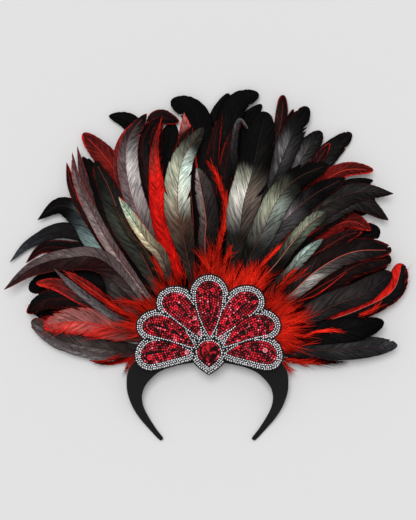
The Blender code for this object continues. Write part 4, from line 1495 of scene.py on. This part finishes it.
@dataclass
class RedField:
    """One padded field of the palmette, a pointed petal whose middle may bow.

    A point at run u and width share w stands on the middle line at u x length, bowed by bow x sin(pi u), and
    moved sideways by w x half width. The outline's width rises as a sine to the widest place and closes there
    with a quarter of an ellipse.
    """

    point: Point
    end: Point
    half_width: float
    bow: float
    widest_at: float
    steps: int = 14
    swell: float = 0.9
    point_pull: float = 2.2
    most_pull: float = 0.6
    least_mitre: float = 0.6

    def outline(self, shrink: float = 0.0) -> Array:
        """The closed outline, or a ring inside it that lies further back from the point than from the sides.

        Args:
            shrink: How far the ring lies inside the outline, in millimetres.

        Returns:
            Sheet points in order, the first at the point and not repeated at the end.
        """
        start = np.array(self.point)
        along = np.array(self.end) - start
        length = float(np.linalg.norm(along))
        along = along / length
        left = np.array([along[1], -along[0]])
        run = np.linspace(0.0, 1.0, self.steps, endpoint=False)
        turn = np.linspace(0.0, math.pi / 2, self.steps + 1)
        keep = 1.0 - shrink / self.half_width
        u = np.concatenate([self.widest_at * run, self.widest_at + (1.0 - self.widest_at) * np.sin(turn)])
        w = np.concatenate([np.sin(math.pi / 2 * run**self.swell), np.cos(turn)]) * self.half_width * keep
        inner_end = 1.0 - shrink / length
        inner_start = min(self.point_pull * shrink / length, self.most_pull)
        u = inner_start + (inner_end - inner_start) * u
        middle = start + np.outer(u * length, along) + np.outer(self.bow * np.sin(math.pi * u), left)
        return np.vstack([middle + np.outer(w, left), (middle - np.outer(w, left))[-2:0:-1]])

    def grown(self, margin: float) -> Array:
        """The outline moved outwards: each point by margin / cosine of half the turn there, within a limit.

        Args:
            margin: How far, in millimetres.

        Returns:
            Sheet points in the outline's order.
        """
        outline = self.outline()
        before = outline - np.roll(outline, 1, axis=0)
        after = np.roll(outline, -1, axis=0) - outline
        before = before / np.linalg.norm(before, axis=1)[:, None]
        after = after / np.linalg.norm(after, axis=1)[:, None]
        outward = np.stack([before[:, 1] + after[:, 1], -(before[:, 0] + after[:, 0])], axis=1)
        outward = outward / np.linalg.norm(outward, axis=1)[:, None]
        straight = np.stack([after[:, 1], -after[:, 0]], axis=1)
        mitre = 1.0 / np.maximum((outward * straight).sum(axis=1), self.least_mitre)
        return outline + outward * (margin * mitre)[:, None]


def spaced_round(outline: Array, gap: float) -> Array:
    """Points at even gaps round a closed outline.

    Args:
        outline: The outline's points, the first not repeated at the end.
        gap: The least gap, in millimetres.

    Returns:
        The points in order.
    """
    closed = np.vstack([outline, outline[:1]])
    run = np.concatenate([[0.0], np.cumsum(np.linalg.norm(np.diff(closed, axis=0), axis=1))])
    count = max(int(run[-1] / gap), 1)
    wanted = np.linspace(0.0, run[-1], count, endpoint=False)
    return np.stack([np.interp(wanted, run, closed[:, axis]) for axis in range(2)], axis=1)


def is_inside(points: Array, outline: Array) -> Array:
    """Which points lie inside a closed outline, by counting the edges to their right.

    Args:
        points: Sheet points.
        outline: The outline's points, the first not repeated at the end.

    Returns:
        True for each point inside.
    """
    start, stop = outline, np.roll(outline, -1, axis=0)
    x, y = points[:, :1], points[:, 1:2]
    spans = (start[:, 1] > y) != (stop[:, 1] > y)
    rise = np.where(stop[:, 1] == start[:, 1], 1.0, stop[:, 1] - start[:, 1])
    crossing = start[:, 0] + (y - start[:, 1]) / rise * (stop[:, 0] - start[:, 0])
    return ((spans & (x < crossing)).sum(axis=1) % 2).astype(bool)


def kept_apart(points: Array, gap: float) -> Array:
    """The points in order, leaving out each that is nearer than the gap to one already kept.

    Args:
        points: Sheet points.
        gap: The least gap, in millimetres.

    Returns:
        The points that stay.
    """
    kept: list[Array] = []
    for point in points:
        if not kept or np.min(np.linalg.norm(np.array(kept) - point, axis=1)) >= gap:
            kept.append(point)
    return np.array(kept)


def glints(rng: Random, choices: Pairs, count: int) -> Array:
    """Random painted glint brightness of many beads or facets, from pairs of a brightness and its chance."""
    levels, chances = zip(*choices)
    return rng.choice(levels, count, p=chances)


@dataclass
class Palmette:
    """The beaded work on the palmette: silver rows on the border, bead rows on the fields, and the stone.

    The first three sizes are heights over the floor. A pitch is the gap from bead to bead along a row and an
    apart is the least gap between any two, both as shares of the bead's radius.
    """

    border_top: float = 25.6
    field_top: float = 24.7
    stone_foot: float = 25.0
    silver_radius: float = 1.2
    silver_margins: tuple[float, ...] = (1.0, 3.05, 5.1)
    silver_pitch: float = 1.85
    silver_apart: float = 1.7
    silver_colour: Colour = (232, 231, 233)
    silver_glints: Pairs = ((0.03, 0.16), (0.4, 0.1), (1.4, 0.12), (4.4, 0.62))
    red_radius: float = 1.22
    red_pitch: float = 1.95
    red_apart: float = 1.66
    row_gap: float = 2.5
    first_row: float = 1.2
    red_colour: Colour = (182, 26, 42)
    red_glint_colour: Colour = (222, 92, 108)
    glint_share: float = 0.14
    red_glints: Pairs = ((0.1, 0.18), (0.6, 0.27), (1.2, 0.31), (2.0, 0.24))
    cup: Pairs = ((0.4, -0.5), (1.0, 0.0), (0.95, 0.3), (0.5, 0.62))
    disc: Pairs = ((0.25, -0.3), (1.0, 0.16), (1.0, 0.3), (0.8, 0.3), (0.5, -0.05))
    disc_colour: Colour = (220, 26, 48)
    disc_highlight_colour: Colour = (226, 130, 142)
    disc_bead: float = 0.7
    stone_colour: Colour = (92, 8, 15)
    stone_layers: Pairs = ((0.78, 0), (1, 1), (1, 1.4), (0.78, 2.6), (0.5, 3.4))
    stone_glints: Pairs = ((0.1, 0.28), (0.6, 0.28), (2.0, 0.24), (5.0, 0.2))
    clearance: float = 0.5
    felt_margin: float = 6.6
    fields: tuple[RedField, ...] = tuple(RedField(*row) for row in FIELDS)

    def covers(self, points: Array) -> Array:
        """Which sheet points lie over the palmette's felt.

        Args:
            points: Sheet points.

        Returns:
            True for each point over it.
        """
        inside = np.zeros(len(points), bool)
        for red_field in self.fields:
            inside |= is_inside(points, red_field.grown(self.felt_margin))
        return inside

    def silver_places(self) -> Array:
        """Places of the silver beads: rows round each field, without those that lie on another field.

        Returns:
            Sheet points.
        """
        rows = []
        for margin in self.silver_margins:
            for number, red_field in enumerate(self.fields):
                row = spaced_round(red_field.grown(margin), self.silver_pitch * self.silver_radius)
                for other, neighbour in enumerate(self.fields):
                    if other != number:
                        row = row[~is_inside(row, neighbour.grown(self.clearance))]
                rows.append(row)
        return kept_apart(np.vstack(rows), self.silver_apart * self.silver_radius)

    def silver(self, material: Material) -> None:
        """Build the silver beads, half sunk in the border ridge.

        Args:
            material: Their finish, the border's own silver, which is plain and shows nothing of the paint.
        """
        rng = np.random.default_rng(71)
        places = self.silver_places()
        places = places + rng.normal(0.0, 0.14, places.shape)
        middles = with_height(places, self.border_top + rng.uniform(-0.3, 0.4, len(places)))
        tones = linear(self.silver_colour) * glints(rng, self.silver_glints, len(places))[:, None]
        size = self.silver_radius * rng.uniform(0.86, 1.08, (len(places), 3))
        surface = Surface()
        surface.repeat(Shape.ball(8, 4), middles, np.eye(3)[None] * size[:, None, :], tones)
        surface.build("silver_beads", material, "silver_bead")

    def red_places(self) -> Array:
        """Places of the small red beads: rings inside each field, clear of the sequins and the stone.

        Returns:
            Sheet points.
        """
        rings = []
        for red_field in self.fields:
            for shrink in np.arange(self.first_row, red_field.half_width - 0.3, self.row_gap):
                rings.append(spaced_round(red_field.outline(shrink), self.red_pitch * self.red_radius))
        places = kept_apart(np.vstack(rings), self.red_apart * self.red_radius)
        stone = RedField(*STONE_OUTLINE)
        places = places[~is_inside(places, stone.grown(self.clearance))]
        large = np.array([row[:3] for row in LARGE_SEQUINS], float)
        gaps = np.linalg.norm(places[:, None, :] - large[None, :, :2], axis=2) - large[None, :, 2]
        return places[gaps.min(axis=1) > 0.3]

    def tilted(self, radius: Array, lean: float, rng: Random) -> Array:
        """Frames of round pieces that lean a little in random directions.

        Args:
            radius: Each piece's radius.
            lean: How steeply they lean.
            rng: The random draws.

        Returns:
            Three axes as rows for each piece.
        """
        frames = np.eye(3)[None] * radius[:, None, None]
        for axis in (0, 1):
            frames[:, axis, 2] = rng.normal(0.0, lean, len(radius)) * radius
        return frames

    def red(self, material: Material) -> None:
        """Build the rows of small cut beads and the larger cupped sequins with a bead on each.

        Args:
            material: Their finish.
        """
        rng = np.random.default_rng(72)
        places = self.red_places()
        middles = with_height(places, self.field_top + rng.uniform(0.3, 0.6, len(places)))
        dull = 0.5 + 0.5 * np.sin(places[:, 0] * 0.21 + 2.0) * np.sin(places[:, 1] * 0.17 + 0.6)
        # Painted glints: a random brightness for each bead, and the pale beads are painted highlights.
        glow = glints(rng, self.red_glints, len(places)) * (0.45 + 0.85 * dull)
        pale = rng.random(len(places)) < self.glint_share
        tones = np.where(pale[:, None], linear(self.red_glint_colour), linear(self.red_colour)) * glow[:, None]
        surface = Surface()
        frames = self.tilted(self.red_radius * rng.uniform(0.85, 1.05, len(places)), 0.22, rng)
        surface.repeat(Shape.plate(self.cup, 8), middles, frames, tones)
        large = np.array([row[:3] for row in LARGE_SEQUINS], float)
        pale = np.array([row[3] for row in LARGE_SEQUINS])
        # The pale sequins are painted highlights.
        tones = np.where(pale[:, None], linear(self.disc_highlight_colour), linear(self.disc_colour))
        frames = self.tilted(large[:, 2], 0.12, rng)
        discs = with_height(large[:, :2], self.field_top + 1.0)
        surface.repeat(Shape.plate(self.disc, 12), discs, frames, tones)
        beads = with_height(large[:, :2], self.field_top + 1.3)
        frames = np.eye(3)[None] * np.full((len(large), 1, 1), self.disc_bead)
        surface.repeat(Shape.ball(6, 3), beads, frames, tones * 0.5)
        surface.build("red_beads", material, "red_sequin", smooth=False)

    def stone(self, material: Material) -> None:
        """Build the drop-shaped stone: flat facets between its rings, and a table of narrow triangles.

        A layer is a share of the outline's size and a height over the stone's foot.

        Args:
            material: Its finish.
        """
        rng = np.random.default_rng(74)
        outline = RedField(*STONE_OUTLINE, steps=4).outline()
        centre = outline.mean(axis=0)
        rings = np.stack(
            [
                with_height(centre + (outline - centre) * size, self.stone_foot + rise)
                for size, rise in self.stone_layers
            ]
        )
        ahead = np.roll(rings, -1, axis=1)
        quads = np.stack([rings[:-1], ahead[:-1], ahead[1:], rings[1:]], axis=2).reshape(-1, 4, 3)[:, ::-1]
        top = with_height(centre, self.stone_foot + self.stone_layers[-1][1])
        foot = with_height(centre, self.stone_foot)
        table = np.stack([rings[-1], ahead[-1], np.broadcast_to(top, rings[-1].shape)], axis=1)[:, ::-1]
        under = np.stack([ahead[0], rings[0], np.broadcast_to(foot, rings[0].shape)], axis=1)[:, ::-1]
        surface = Surface()
        # Each facet's random brightness is a painted glint or reflection on the dark red stone.
        for faces in (quads, table, under):
            glow = glints(rng, self.stone_glints, len(faces))
            surface.facets(faces, linear(self.stone_colour) * glow[:, None])
        surface.build("drop_stone", material, "stone", ("centre_stone",), smooth=False)


# Locks of the fluff collar: seat, tip, half width, level, tufts for each millimetre, share of the lock where
# the last tuft starts, tuft length, and brightness.
COLLAR_LOCKS = (
    (12, (300, 356), 7, 12.4, 0.7, 0.58, 14, 0.9),
    (12, (320, 341), 8, 13.0, 0.9, 0.42, 17, 1.05),
    (14, (314, 322), 9, 13.6, 1.3, 0.45, 22, 1.1),
    (22, (315, 303), 8, 13.0, 0.8, 0.5, 20, 1.0),
    (32, (290, 295), 6, 13.6, 0.7, 0.6, 18, 0.9),
    (42, (274, 280), 6, 13.0, 0.5, 0.5, 16, 0.85),
    (52, (270, 261), 6, 13.6, 1.1, 0.6, 18, 1.05),
    (62, (262, 257), 6, 13.0, 1.4, 0.52, 16, 1.15),
    (72, (246, 258), 6, 13.6, 1.2, 0.42, 16, 1.1),
    (82, (232, 250), 6, 13.0, 0.7, 0.3, 18, 0.95),
    (90, (213, 238), 6, 13.6, 1.0, 0.62, 18, 0.9),
    (103, (197, 268), 6, 13.0, 0.2, 0.6, 14, 0.65),
    (115, (180, 272), 6, 13.6, 0.25, 0.6, 18, 0.65),
    (127, (163, 276), 6, 13.0, 0.35, 0.6, 20, 0.8),
    (140, (149, 288), 6, 13.6, 0.35, 0.6, 18, 0.7),
    (152, (136, 302), 6, 13.0, 0.45, 0.6, 20, 0.8),
    (165, (124, 318), 6, 13.6, 0.6, 0.6, 20, 0.9),
)

# Loose wisps: from, bend, to, spread, number of hairs, level in the pile, and brightness.
WISPS = (
    ((216, 262), (220, 242), (224, 222), 2.4, 110, 10.5, 0.85),
    ((222, 238), (226, 210), (221, 182), 2.0, 190, 9.5, 0.88),
    ((222, 192), (216, 174), (206, 158), 1.8, 120, 9.0, 0.82),
    ((224, 266), (229, 252), (234, 239), 3.2, 60, 12.5, 0.82),
    ((292, 346), (316, 332), (352, 331), 1.5, 30, 11.5, 1.15),
    ((286, 352), (306, 345), (328, 341), 1.2, 10, 11.0, 0.85),
    # This dark wisp along the lower right edge is partly real dark hairs and partly painted shadow under the
    # feathers.
    ((284, 359), (318, 362), (352, 360), 2.6, 190, 5.5, 0.1),
    ((282, 359), (304, 363), (328, 363), 2.8, 70, 8.0, 0.75),
    ((282, 359), (287, 368), (297, 376), 3.6, 90, 12.0, 0.75),
    ((138, 352), (131, 364), (131, 378), 3.6, 70, 13.0, 0.68),
    ((134, 354), (127, 366), (123, 379), 3.0, 40, 8.0, 0.4),
    # This dark wisp along the lower left edge is partly real dark hairs and partly painted shadow under the
    # feathers.
    ((128, 358), (112, 363), (92, 366), 2.0, 40, 4.0, 0.3),
    ((124, 356), (108, 360), (88, 364), 2.0, 26, 6.0, 0.62),
    ((154, 308), (136, 303), (106, 300), 3.2, 56, 9.5, 0.85),
    ((140, 318), (122, 312), (96, 292), 1.6, 60, 9.5, 0.95),
    ((166, 284), (157, 266), (146, 248), 2.6, 36, 9.5, 0.8),
    ((186, 280), (179, 262), (174, 240), 2.4, 22, 10.5, 0.7),
    ((202, 276), (194, 262), (192, 244), 2.4, 12, 10.5, 0.6),
    ((252, 276), (270, 256), (294, 234), 2.0, 90, 11.5, 1.05),
    ((276, 290), (287, 277), (300, 264), 2.0, 30, 11.0, 0.95),
    ((278, 262), (296, 244), (330, 222), 1.8, 14, 10.5, 0.8),
    ((276, 292), (300, 274), (338, 246), 2.4, 22, 10.5, 0.8),
    ((288, 306), (318, 293), (352, 268), 1.6, 6, 11.0, 0.8),
    ((356, 316), (371, 310), (386, 299), 2.0, 60, 10.0, 0.85),
)


@dataclass(frozen=True)
class Lock:
    """One lock of the fluff collar: where it starts and ends, its form, and the tufts on it."""

    seat: float
    tip: Point
    half_width: float
    level: float
    density: float
    last_tuft: float
    tuft_length: float
    glow: float


@dataclass(frozen=True)
class Wisp:
    """Loose hairs along one line, from a start by a bend to an end."""

    start: Point
    bend: Point
    end: Point
    spread: float
    hairs: int
    level: float
    glow: float


@dataclass
class Fluff:
    """The red fluff: a dark core under each lock, and tufts of soft strands that stand out from it.

    A tuft starts beside its line and travels by the line's direction turned by its own angle. A strand of it
    at rate t stands at the tuft's start + length x t forward + (its own offset x (1 + spread x t) +
    curl x length x t squared) sideways, so the strands spread from its root. It rises as an arch.
    """

    palmette: Palmette
    strands: int = 15
    strand_width: float = 0.21
    root_spread: float = 0.9
    spread: float = 1.5
    turn: float = 0.24
    curl: float = 0.14
    strand_curl: float = 0.07
    ripple: float = 0.25
    most_follow: float = 4.0
    core_share: float = 0.4
    core_end: float = 0.86
    core_shoulder: float = 1.6
    core_top: float = 2.2
    core_under: float = 0.4
    core_colour: Colour = (44, 3, 3)
    plate_foot: float = 19.4
    collar_row: int = 3
    tufts_each: float = 1.2
    pale: Colour = (255, 48, 30)
    deep: Colour = (70, 3, 3)
    surface: Surface = field(default_factory=Surface)

    def core(self, lock: Lock, line: Line) -> None:
        """Add a lock's core, a low ridge inside the lock with a shoulder on each side.

        Args:
            lock: The lock.
            line: Its line.
        """
        shares = np.linspace(0.0, self.core_end, 16)
        shape = np.sqrt(np.maximum(1.0 - (shares / self.core_end) ** 3, 0.0))
        shape = shape * (0.45 + 0.55 * smooth_step(shares / 0.5))
        half = np.maximum(lock.half_width * shape * self.core_share, 0.4)
        middle = line.at(shares)
        side = line.left(shares) * half[:, None]
        low = PILE.height(middle, lock.level, self.collar_row)
        outs = (1.0, 0.5, 0.0, -0.5, -1.0, 0.0)
        rises = (0.0, self.core_shoulder, self.core_top, self.core_shoulder, 0.0, -self.core_under)
        rings = [with_height(middle + side * out, low + rise) for out, rise in zip(outs, rises)]
        self.surface.loft(np.stack(rings, axis=1), colour=linear(self.core_colour) * lock.glow**3)

    def hairs(self, middles: Array, wide: Array, share: Array, glow: float) -> None:
        """Add hairs from deep to pale red, leaving out each that would stick through the palmette's felt.

        Args:
            middles: Points along each hair, as hairs by joints by three.
            wide: Half of the hair's width as a vector at each joint.
            share: How pale each hair or joint is.
            glow: How bright they are.
        """
        tones = (linear(self.deep) + (linear(self.pale) - linear(self.deep)) * share) * glow**2
        covered = self.palmette.covers(middles[..., :2].reshape(-1, 2)).reshape(len(middles), -1)
        clear = ~(covered & (middles[..., 2] > self.plate_foot)).any(axis=1)
        self.surface.blades(middles[clear], wide[clear], tones[clear])

    def tufts(self, line: Line, starts: Array, glow: float, rng: Random) -> None:
        """Add tufts of strands that start beside a line.

        Args:
            line: The line that they follow.
            starts: For each tuft its share of the line's length, offset to the left, level and length.
            glow: How bright they are.
            rng: The random draws.
        """
        tufts = starts.shape[1]
        own = np.repeat(np.arange(tufts), self.strands)
        count = len(own)
        shares, offset, level, long = starts
        ahead, side = line.along(shares), line.left(shares)
        turn = rng.normal(0.0, self.turn, tufts) + 0.05 * offset
        forward = ahead * np.cos(turn)[:, None] + side * np.sin(turn)[:, None]
        sideways = np.stack([forward[:, 1], -forward[:, 0]], axis=1)
        rates = np.linspace(0.0, 1.0, 5)
        root = line.at(shares) + side * offset[:, None]
        across = rng.normal(0.0, self.root_spread, count)[:, None]
        stretch = 0.3 + 0.9 * rng.beta(1.4, 1.5, count)[:, None]
        curl = (rng.normal(0.0, self.curl, tufts)[own] + rng.normal(0.0, self.strand_curl, count))[:, None]
        reach = long[own][:, None] * stretch * rates
        bend = across * (1.0 + self.spread * rates) + curl * long[own][:, None] * rates**2
        bend = bend + self.ripple * np.sin(rates * 6.0 + rng.uniform(0.0, 6.0, count)[:, None]) * rates
        flat = root[own][:, None, :] + forward[own][:, None, :] * reach[..., None]
        flat = flat + sideways[own][:, None, :] * bend[..., None]
        lift = rng.uniform(-0.3, 1.6, count)[:, None] * np.sin(rates * math.pi * 0.75)
        ground = PILE.height(root, level, self.collar_row)[own][:, None]
        follow = PILE.height(flat, level[own][:, None], self.collar_row) - ground
        middles = with_height(flat, ground + lift + np.minimum(follow, self.most_follow) * 0.8)
        wide = self.strand_width * rng.uniform(0.6, 1.3, count)[:, None] * (1.0 - 0.8 * rates**2)
        roll = rng.uniform(-0.9, 0.9, count)[:, None]
        flatly = sideways[own][:, None, :] * (wide * np.cos(roll))[..., None]
        blade = np.concatenate([flatly, (wide * np.sin(roll))[..., None]], axis=2)
        share = np.clip(rng.beta(1.2, 0.8, tufts)[own] + rng.normal(0.0, 0.18, count), 0.0, 1.0)
        self.hairs(middles, blade, share[:, None, None] * (1.0 - 0.35 * rates[None, :, None] ** 2), glow)

    def wisp(self, wisp: Wisp, rng: Random) -> None:
        """Add loose hairs that follow a line, each over its own part of it, and drift apart sideways.

        Args:
            wisp: The wisp.
            rng: The random draws.
        """
        line = Line(np.array([wisp.start, wisp.bend, wisp.end]))
        count = wisp.hairs
        rates = np.linspace(0.0, 1.0, 7)
        begin = rng.uniform(0.0, 0.6, count)[:, None]
        shares = np.minimum(begin + rng.uniform(0.2, 0.45, count)[:, None] * rates, 1.0)
        drift = rng.normal(0.0, 1.1, count)[:, None] * wisp.spread * rates**1.5
        across = rng.normal(0.0, 0.4, count)[:, None] * wisp.spread * (1.1 - begin) + drift
        across = across + 0.2 * np.sin(rates * 7.0 + rng.uniform(0.0, 6.0, count)[:, None])
        side = line.left(shares)
        flat = line.at(shares) + side * across[..., None]
        lift = rng.uniform(-0.4, 0.8, count)[:, None]
        middles = with_height(flat, PILE.height(flat, wisp.level - 3.0 * shares, self.collar_row) + lift)
        half = self.strand_width * rng.uniform(0.7, 1.4, count)[:, None] * (1.0 - 0.75 * rates**2)
        share = np.clip(rng.beta(1.2, 0.8, count), 0.0, 1.0)[:, None]
        self.hairs(middles, with_height(side * half[..., None], 0.0), share, wisp.glow)

    def build(self, material: Material) -> None:
        """Build the whole collar and its loose wisps.

        Args:
            material: Their finish.
        """
        rng = np.random.default_rng(73)
        for row in COLLAR_LOCKS:
            lock = Lock(*row)
            line = Line(np.array([seat_point(lock.seat), lock.tip]))
            self.core(lock, line)
            count = int(line.length * lock.density * self.tufts_each)
            shares = np.sort(rng.uniform(0.1, lock.last_tuft, count))[::-1]
            offset = rng.normal(0.0, 0.45, count) * lock.half_width
            arch = 0.8 * (1.0 - np.minimum(np.abs(offset) / lock.half_width, 1.0))
            levels = lock.level + arch + rng.uniform(-0.2, 1.2, count)
            starts = np.stack([shares, offset, levels, rng.gamma(9.0, lock.tuft_length / 9.0, count)])
            self.tufts(line, starts, lock.glow, rng)
        for row in WISPS:
            self.wisp(Wisp(*row), rng)
        self.surface.build("red_fluff", material, "fluff", ("fluff_collar",))


def dress(node: bpy.types.Object, material: Material) -> None:
    """Give a solid of the frame a finish.

    Args:
        node: The solid's object.
        material: The finish.
    """
    node.data.materials.clear()
    node.data.materials.append(material)
    LOG.info("%s: its solid, in %s", node.name, material.name)


FELT = FeltFinish("black_felt")
SILVER_GROUND = FeltFinish("silver_ground", ground=(12, 12, 13), fibre=(44, 43, 45))
RED_CLOTH = FeltFinish("red_cloth", ground=(12, 2, 3), fibre=(56, 6, 10))
COCK_FEATHER = PaintedFinish(
    "cock_feather", roughness=0.42, specular=0.02, dark=0.3, light=1.8, lines=15.0, bump=0.4
)
MARABOU = PaintedFinish("marabou", roughness=0.75, specular=0.0)
RED_BEAD = PaintedFinish("red_bead", roughness=0.25, specular=0.3, metallic=0.4)
DARK_STONE = PaintedFinish("dark_stone", roughness=0.12, specular=0.12, metallic=0.2)
ROWS = {"back": BACK_FEATHERS, "middle": MIDDLE_FEATHERS, "front": FRONT_FEATHERS}
PETALS = ("centre", "upper_left", "upper_right", "middle_left", "middle_right", "lower_left", "lower_right")


def main() -> None:
    """Load the frame, set up the studio and build each piece."""
    logging.basicConfig(level=logging.INFO, format="%(message)s")
    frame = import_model()
    Studio().build()
    effects = Effects()
    felt = FELT.material(effects)
    plume = COCK_FEATHER.material(effects)
    HairBand().build(felt)
    for row, (name, table) in enumerate(ROWS.items()):
        FeatherRow(name, row, tuple(Feather(*values) for values in table)).build(plume)
    palmette = Palmette()
    Fluff(palmette).build(MARABOU.material(effects))
    palmette.silver(frame["nodes"]["silver_border"].data.materials[0])
    palmette.red(RED_BEAD.material(effects))
    palmette.stone(DARK_STONE.material(effects))
    dress(frame["nodes"]["applique_backing"], felt)
    dress(frame["nodes"]["silver_border"], SILVER_GROUND.material(effects))
    cloth = RED_CLOTH.material(effects)
    for name in PETALS:
        dress(frame["nodes"][f"petal_{name}"], cloth)
    dress(frame["nodes"]["centre_shield"], cloth)


if __name__ == "__main__":
    main()
